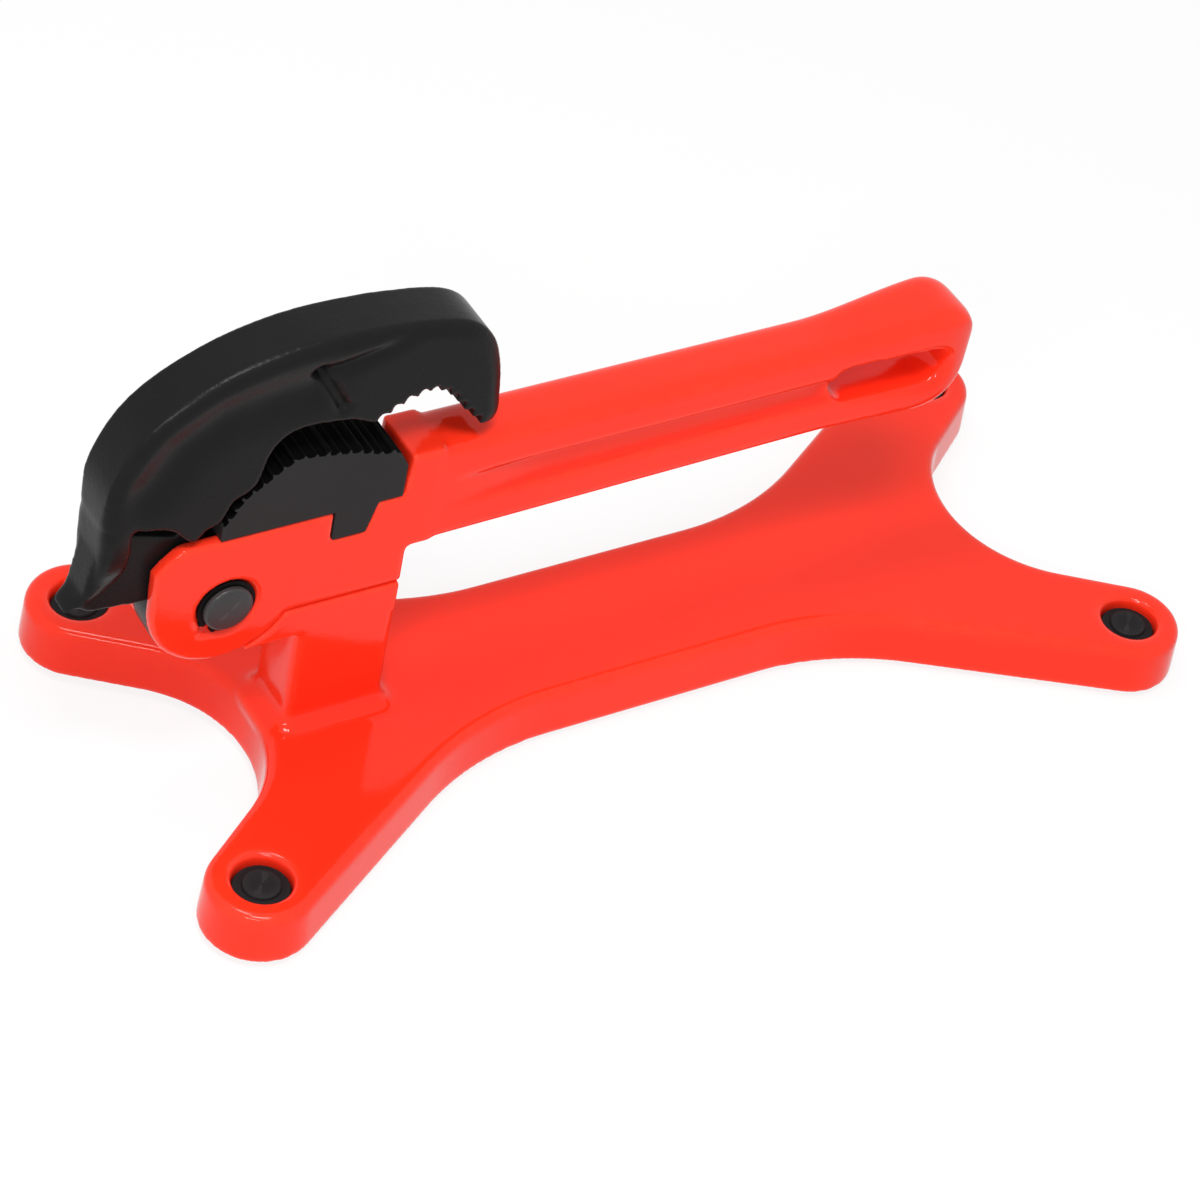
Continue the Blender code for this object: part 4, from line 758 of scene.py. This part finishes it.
# Painted shade: the toothed top lies in the hook's shadow, so it gets a much darker copy of the heel's steel.
shaded_teeth_steel = black_steel("heel_teeth_painted_shade", 0.0025, 0.6, 0.0, 0.02, 0.006, grain=1100, pits=0.2, bump=0.2)
heel.data.materials.append(shaded_teeth_steel)
for face in heel.data.polygons:
    u, v = face.center.x / MM - PIN.x, face.center.z / MM - PIN.z
    on_top = v > heel_low + 14 or u < 8
    if on_top and v > heel_low + 6 and abs(face.normal.y) < 0.75:
        face.material_index = 1

# Pivot pin and its two retaining rings. The pin is turned and blackened, with a shallow dome and
# a chamfer at each end; a spring ring with two lugs sits in a groove at the bottom of each sink.

PIN_R, PIN_HALF, PIN_CHAMFER, PIN_DOME = 8.4, 13.2, 0.9, 0.35
GROOVE_R, GROOVE_IN, GROOVE_OUT = 7.4, 9.05, 10.95
RING_IN, RING_OUT, RING_THICK = 7.7, 10.0, 1.3

end_profile = [(0.02, PIN_HALF), (2.5, PIN_HALF - 0.03), (5, PIN_HALF - 0.14), (PIN_R - 1.2, PIN_HALF - PIN_DOME),
               (PIN_R - 0.6, PIN_HALF - PIN_DOME - 0.18), (PIN_R - 0.15, PIN_HALF - PIN_DOME - 0.6),
               (PIN_R, PIN_HALF - PIN_DOME - 1.1), (PIN_R, GROOVE_OUT), (GROOVE_R, GROOVE_OUT),
               (GROOVE_R, GROOVE_IN), (PIN_R, GROOVE_IN)]
pin = turned("turned_pin", [*end_profile, *[(r, -h) for r, h in reversed(end_profile)]], PIN, "Y", 96)
pin.data.shade_smooth()
pin.data.set_sharp_from_angle(angle=math.radians(40))
dressed(pin, "vise", "pin_black", black_steel("pin_black_turned", 0.03, 0.28, 0.0, 0.24, 0.07, grain=1500, pits=0.1,
                                              bump=0.1), "pivot_pin")

ring_steel = black_steel("ring_black_spring", 0.003, 0.4, 0.0, 0.06, 0.01, grain=1800, pits=0.1, bump=0.1)
for name, side in (("retaining_ring_near", -1), ("retaining_ring_far", 1)):
    middle = side * (GROOVE_IN + GROOVE_OUT) / 2
    start, end = LUG_TURN - 360 + 9, LUG_TURN - 9
    ring_line = arc((0, 0), RING_OUT, start, end, 80) + arc((0, 0), RING_IN, end, start, 80)
    ring = solid(name + "_spring", [across(ring_line, middle - RING_THICK / 2),
                                    across(ring_line, middle + RING_THICK / 2)])
    lugs = []
    for turn in (start + 9, end - 9):
        t = math.radians(turn)
        spot = (PIN.x + 9.7 * math.cos(t), middle, PIN.z + 9.7 * math.sin(t))
        lugs.append(turned("lug", [(1.05, -0.52), (1.05, 0.52)], spot, "Y", 32))
    combine(ring, lugs, "UNION")
    edge = ring.modifiers.new("rolled_edges", "BEVEL")
    edge.width = 0.15 * MM
    edge.segments = 2
    edge.limit_method = "ANGLE"
    edge.angle_limit = math.radians(40)
    apply_all(ring)
    dressed(ring, "vise", "pin_black", ring_steel, name)

# Torsion spring. Two turns of spring wire round the pin, in the tongue's recess, which close the
# hook on the pipe. One unbroken wire, swept along a coil.

COIL_R, WIRE_R, COIL_PITCH, COIL_TURNS = 13.2, 0.8, 2.15, 2


def make_wire_coil():
    """A round wire wound in an even coil about an upright line."""
    tree = bpy.data.node_groups.new("wire_coil", "GeometryNodeTree")
    tree.interface.new_socket("Geometry", in_out="INPUT", socket_type="NodeSocketGeometry")
    for label, kind, default in (("Turns", "NodeSocketFloat", 2.0), ("Coil radius", "NodeSocketFloat", 0.0132),
                                 ("Pitch", "NodeSocketFloat", 0.00215), ("Wire radius", "NodeSocketFloat", 0.0008)):
        tree.interface.new_socket(label, in_out="INPUT", socket_type=kind).default_value = default
    tree.interface.new_socket("Steel", in_out="INPUT", socket_type="NodeSocketMaterial")
    tree.interface.new_socket("Geometry", in_out="OUTPUT", socket_type="NodeSocketGeometry")
    ins = tree.nodes.new("NodeGroupInput")
    outs = tree.nodes.new("NodeGroupOutput")
    rise = node(tree, "ShaderNodeMath", [(0, ins.outputs["Turns"]), (1, ins.outputs["Pitch"])],
                operation="MULTIPLY")
    coil = node(tree, "GeometryNodeCurveSpiral", [
        ("Resolution", 72), ("Rotations", ins.outputs["Turns"]), ("Start Radius", ins.outputs["Coil radius"]),
        ("End Radius", ins.outputs["Coil radius"]), ("Height", rise.outputs[0])])
    wire = node(tree, "GeometryNodeCurvePrimitiveCircle", [("Resolution", 16), ("Radius", ins.outputs["Wire radius"])])
    swept = node(tree, "GeometryNodeCurveToMesh", [("Curve", coil.outputs[0]),
                                                   ("Profile Curve", wire.outputs["Curve"]), ("Fill Caps", True)])
    smooth = node(tree, "GeometryNodeSetShadeSmooth", [("Geometry", swept.outputs[0])])
    real = node(tree, "GeometryNodeRealizeInstances", [("Geometry", smooth.outputs[0])])
    painted = node(tree, "GeometryNodeSetMaterial", [("Geometry", real.outputs[0]),
                                                     ("Material", ins.outputs["Steel"])])
    tree.links.new(painted.outputs[0], outs.inputs[0])
    return tree


coil_steel = black_steel("coil_spring_steel", 0.09, 0.36, 0.6, 0.5, 0.2, grain=1600, pits=0.1, bump=0.1)
spring = bpy.data.objects.new("coil_spring", bpy.data.meshes.new("coil_spring"))
bpy.context.scene.collection.objects.link(spring)
inputs_set(spring, make_wire_coil(), **{"Turns": float(COIL_TURNS), "Coil radius": COIL_R * MM,
                                        "Pitch": COIL_PITCH * MM, "Wire radius": WIRE_R * MM, "Steel": coil_steel})
_, coil_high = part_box("hook_spring")
lay = Matrix.Rotation(math.pi / 2, 4, "X")
spring.data.transform(Matrix.Translation((PIN.x * MM, coil_high.y - WIRE_R * MM, PIN.z * MM)) @ lay)
dressed(spring, "vise", "spring_steel", coil_steel, "hook_spring")

# Rubber feet. Four moulded plugs pushed into the arms' holes from below: a flange on the bench, a
# plug with a raised button that shows down in the hole, and soft edges.

FOOT_NAMES = ("foot_jaw_near", "foot_jaw_far", "foot_handle_near", "foot_handle_far")
PLUG_TOP = BASE_TOP - 4


def make_feet_set():
    """One moulded foot set at every point, each turned a little differently in its hole."""
    tree = bpy.data.node_groups.new("feet_set", "GeometryNodeTree")
    for label, kind, default in (("Geometry", "NodeSocketGeometry", None), ("Foot", "NodeSocketObject", None),
                                 ("Size", "NodeSocketFloat", 1.0), ("Turn", "NodeSocketFloat", 3.0),
                                 ("Rubber", "NodeSocketMaterial", None)):
        socket = tree.interface.new_socket(label, in_out="INPUT", socket_type=kind)
        if default is not None:
            socket.default_value = default
    tree.interface.new_socket("Geometry", in_out="OUTPUT", socket_type="NodeSocketGeometry")
    ins = tree.nodes.new("NodeGroupInput")
    outs = tree.nodes.new("NodeGroupOutput")
    foot = node(tree, "GeometryNodeObjectInfo", [("Object", ins.outputs["Foot"])])
    spread = node(tree, "FunctionNodeRandomValue", [(2, 0.0), (3, ins.outputs["Turn"]), ("Seed", 4)],
                  data_type="FLOAT")
    angle = node(tree, "ShaderNodeCombineXYZ", [("Z", spread.outputs[1])])
    placed = node(tree, "GeometryNodeInstanceOnPoints", [
        ("Points", ins.outputs["Geometry"]), ("Instance", foot.outputs["Geometry"]), ("Rotation", angle.outputs[0]),
        ("Scale", ins.outputs["Size"])])
    real = node(tree, "GeometryNodeRealizeInstances", [("Geometry", placed.outputs[0])])
    painted = node(tree, "GeometryNodeSetMaterial", [("Geometry", real.outputs[0]),
                                                     ("Material", ins.outputs["Rubber"])])
    tree.links.new(painted.outputs[0], outs.inputs[0])
    return tree


def moulded_rubber():
    """Matt black moulded rubber: fine mould grain, cloudy tone, and a lighter grey along its edges."""
    made = bpy.data.materials.new("foot_rubber")
    made.use_nodes = True
    tree = made.node_tree
    shader = tree.nodes["Principled BSDF"]
    skin = grouped(tree, FORGED_GRAIN, Grain=1300, Pits=0.3)
    curvature = grouped(tree, CURVATURE_MASKS, Reach=0.07, Breakup=500)
    dusty = node(tree, "ShaderNodeMix", [("Factor", skin.outputs["Cloud"]), ("A", (0.006, 0.006, 0.0065, 1)),
                                         ("B", (0.014, 0.014, 0.015, 1))], data_type="RGBA")
    # A lighter grey mixed in along the edges.
    edges_lighter = node(tree, "ShaderNodeMix", [("Factor", curvature.outputs["Edge"]), ("A", dusty.outputs["Result"]),
                                           ("B", (0.03, 0.03, 0.031, 1))], data_type="RGBA")
    tree.links.new(edges_lighter.outputs["Result"], shader.inputs["Base Color"])
    rough = node(tree, "ShaderNodeMapRange", [("Value", skin.outputs["Cloud"]), ("To Min", 0.55), ("To Max", 0.8)])
    tree.links.new(rough.outputs[0], shader.inputs["Roughness"])
    bump = node(tree, "ShaderNodeBump", [("Height", skin.outputs["Height"]), ("Strength", 0.3),
                                         ("Distance", 0.0002)])
    tree.links.new(bump.outputs[0], shader.inputs["Normal"])
    shader.inputs["Specular IOR Level"].default_value = 0.12
    return made


foot_profile = [(0.02, PLUG_TOP + 1.2), (3.4, PLUG_TOP + 1.35), (5.4, PLUG_TOP + 1.6), (6.0, PLUG_TOP + 1.45),
                (6.3, PLUG_TOP + 1.0), (6.5, PLUG_TOP + 0.2), (7.1, PLUG_TOP), (8.7, PLUG_TOP),
                (9.25, PLUG_TOP - 0.25), (9.5, PLUG_TOP - 0.8), (9.5, BASE_UNDER + 1.9), (10.1, BASE_UNDER + 1.7),
                (12.4, BASE_UNDER + 1.7), (12.85, BASE_UNDER + 1.4), (13, BASE_UNDER + 0.9), (13, 0.9),
                (12.8, 0.35), (12.3, 0.03), (11, 0), (9.6, 0.5), (5, 0.5), (0.02, 0.5)]
foot = turned("foot_blank", foot_profile, (0, 0, 0), "Z", 80)
foot.data.shade_smooth()
foot.data.set_sharp_from_angle(angle=math.radians(50))
feet_mesh = bpy.data.meshes.new("rubber_feet")
spots = [sum(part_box(name), Vector()) / 2 for name in FOOT_NAMES]
feet_mesh.from_pydata([(spot.x, spot.y, 0) for spot in spots], [], [])
feet = bpy.data.objects.new("rubber_feet", feet_mesh)
bpy.context.scene.collection.objects.link(feet)
rubber = moulded_rubber()
inputs_set(feet, make_feet_set(), Foot=foot, Size=1.0, Turn=3.0, Rubber=rubber)
bpy.data.objects.remove(foot)
dressed(feet, "vise", "rubber", rubber, *FOOT_NAMES)

# Fasteners inside the post. The body screw with its lock washer, the dowel and the heel jaw's
# screw are zinc plated steel; only the screw's head shows, up its well from below.


def plated_steel():
    """Zinc plate: pale crystalline cloud, fine scratches and painted shade darkening its recesses."""
    made = bpy.data.materials.new("zinc_plate")
    made.use_nodes = True
    tree = made.node_tree
    shader = tree.nodes["Principled BSDF"]
    skin = grouped(tree, FORGED_GRAIN, Grain=900, Pits=0.2)
    curvature = grouped(tree, CURVATURE_MASKS, Reach=0.1, Breakup=400)
    cloudy = node(tree, "ShaderNodeMix", [("Factor", skin.outputs["Cloud"]), ("A", (0.42, 0.42, 0.41, 1)),
                                          ("B", (0.62, 0.62, 0.6, 1))], data_type="RGBA")
    # Painted shade: dark grey mixed into the hollows.
    darker = node(tree, "ShaderNodeMix", [("Factor", curvature.outputs["Hollow"]), ("A", cloudy.outputs["Result"]),
                                          ("B", (0.2, 0.2, 0.19, 1))], data_type="RGBA")
    tree.links.new(darker.outputs["Result"], shader.inputs["Base Color"])
    rough = node(tree, "ShaderNodeMapRange", [("Value", skin.outputs["Cloud"]), ("To Min", 0.3), ("To Max", 0.5)])
    tree.links.new(rough.outputs[0], shader.inputs["Roughness"])
    bump = node(tree, "ShaderNodeBump", [("Height", skin.outputs["Height"]), ("Strength", 0.15),
                                         ("Distance", 0.0002)])
    tree.links.new(bump.outputs[0], shader.inputs["Normal"])
    shader.inputs["Metallic"].default_value = 0.9
    return made


zinc = plated_steel()
for name in ("body_screw", "lock_washer", "heel_jaw_screw", "body_dowel"):
    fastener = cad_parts[name]
    fastener.data.materials.clear()
    fastener.data.materials.append(zinc)

# The photographer's table: a plain pale floor that keeps a faint shadow, white all round, a wide
# soft lamp from above and in front, a smaller one overhead and a strip for crisp edge lights.

floor_mesh = bpy.data.meshes.new("floor")
floor_mesh.from_pydata([(-3, -3, -0.0002), (3, -3, -0.0002), (3, 3, -0.0002), (-3, 3, -0.0002)], [], [(0, 1, 2, 3)])
floor = bpy.data.objects.new("floor", floor_mesh)
bpy.context.scene.collection.objects.link(floor)
pale = bpy.data.materials.new("pale_floor")
pale.use_nodes = True
tree = pale.node_tree
tree.nodes.remove(tree.nodes["Principled BSDF"])
rays = tree.nodes.new("ShaderNodeLightPath")
seen = node(tree, "ShaderNodeMath", [(0, rays.outputs["Is Camera Ray"]), (1, rays.outputs["Is Glossy Ray"])],
            operation="ADD", use_clamp=True)
seen = node(tree, "ShaderNodeMath", [(0, seen.outputs[0]), (1, rays.outputs["Is Transmission Ray"])],
            operation="ADD", use_clamp=True)
share = node(tree, "ShaderNodeMath", [(0, seen.outputs[0]), (1, 0.85)], operation="MULTIPLY")
matt = node(tree, "ShaderNodeBsdfDiffuse", [("Color", (0.92, 0.92, 0.92, 1))])
glow = node(tree, "ShaderNodeEmission", [("Color", (1, 1, 1, 1)), ("Strength", 1.0)])
mixed = node(tree, "ShaderNodeMixShader", [(0, share.outputs[0]), (1, matt.outputs[0]), (2, glow.outputs[0])])
tree.links.new(mixed.outputs[0], tree.nodes["Material Output"].inputs["Surface"])
floor_mesh.materials.append(pale)

world = bpy.data.worlds.new("white_room")
world.use_nodes = True
tree = world.node_tree
rays = tree.nodes.new("ShaderNodeLightPath")
seen = node(tree, "ShaderNodeMath", [(0, rays.outputs["Is Camera Ray"]), (1, rays.outputs["Is Glossy Ray"])],
            operation="ADD", use_clamp=True)
seen = node(tree, "ShaderNodeMath", [(0, seen.outputs[0]), (1, rays.outputs["Is Transmission Ray"])],
            operation="ADD", use_clamp=True)
strength = node(tree, "ShaderNodeMapRange", [("Value", seen.outputs[0]), ("To Min", 0.42), ("To Max", 1.0)])
background = tree.nodes["Background"]
background.inputs["Color"].default_value = (1, 1, 1, 1)
tree.links.new(strength.outputs[0], background.inputs["Strength"])
bpy.context.scene.world = world

for name, place, wide, deep, power in (("key_lamp", (-0.3, -0.5, 1.35), 0.45, 0.25, 11),
                                       ("top_lamp", (-0.3, 0.15, 1.3), 0.3, 0.3, 4),
                                       ("strip_lamp", (-0.75, -0.8, 0.85), 0.5, 0.06, 5)):
    lamp = bpy.data.lights.new(name, "AREA")
    lamp.shape = "RECTANGLE"
    lamp.size = wide
    lamp.size_y = deep
    lamp.energy = power
    holder = bpy.data.objects.new(name, lamp)
    holder.location = place
    holder.rotation_euler = (Vector((0, 0, 0.04)) - Vector(place)).to_track_quat("-Z", "Y").to_euler()
    bpy.context.scene.collection.objects.link(holder)

# The photograph's camera, a long lens from above the jaw's side, turned a little about its axis.

turn, rise, roll = (math.radians(angle) for angle in (-38.65, 41.92, 12.65))
back = Vector((math.sin(turn) * math.cos(rise), -math.cos(turn) * math.cos(rise), math.sin(rise)))
right = Vector((math.cos(turn), math.sin(turn), 0))
up = back.cross(right)
level = Matrix((math.cos(roll) * right + math.sin(roll) * up, math.cos(roll) * up - math.sin(roll) * right, back))
lens = bpy.data.cameras.new("camera")
lens.sensor_width = 36
lens.lens = 4048 / 1200 * 36
camera = bpy.data.objects.new("camera", lens)
camera.matrix_world = Matrix.Translation(Vector((-0.00127, -0.00603, 0.0348)) + back * 1.3651) @ \
    level.transposed().to_4x4()
bpy.context.scene.collection.objects.link(camera)
bpy.context.scene.camera = camera
bpy.context.scene.view_settings.view_transform = "Standard"
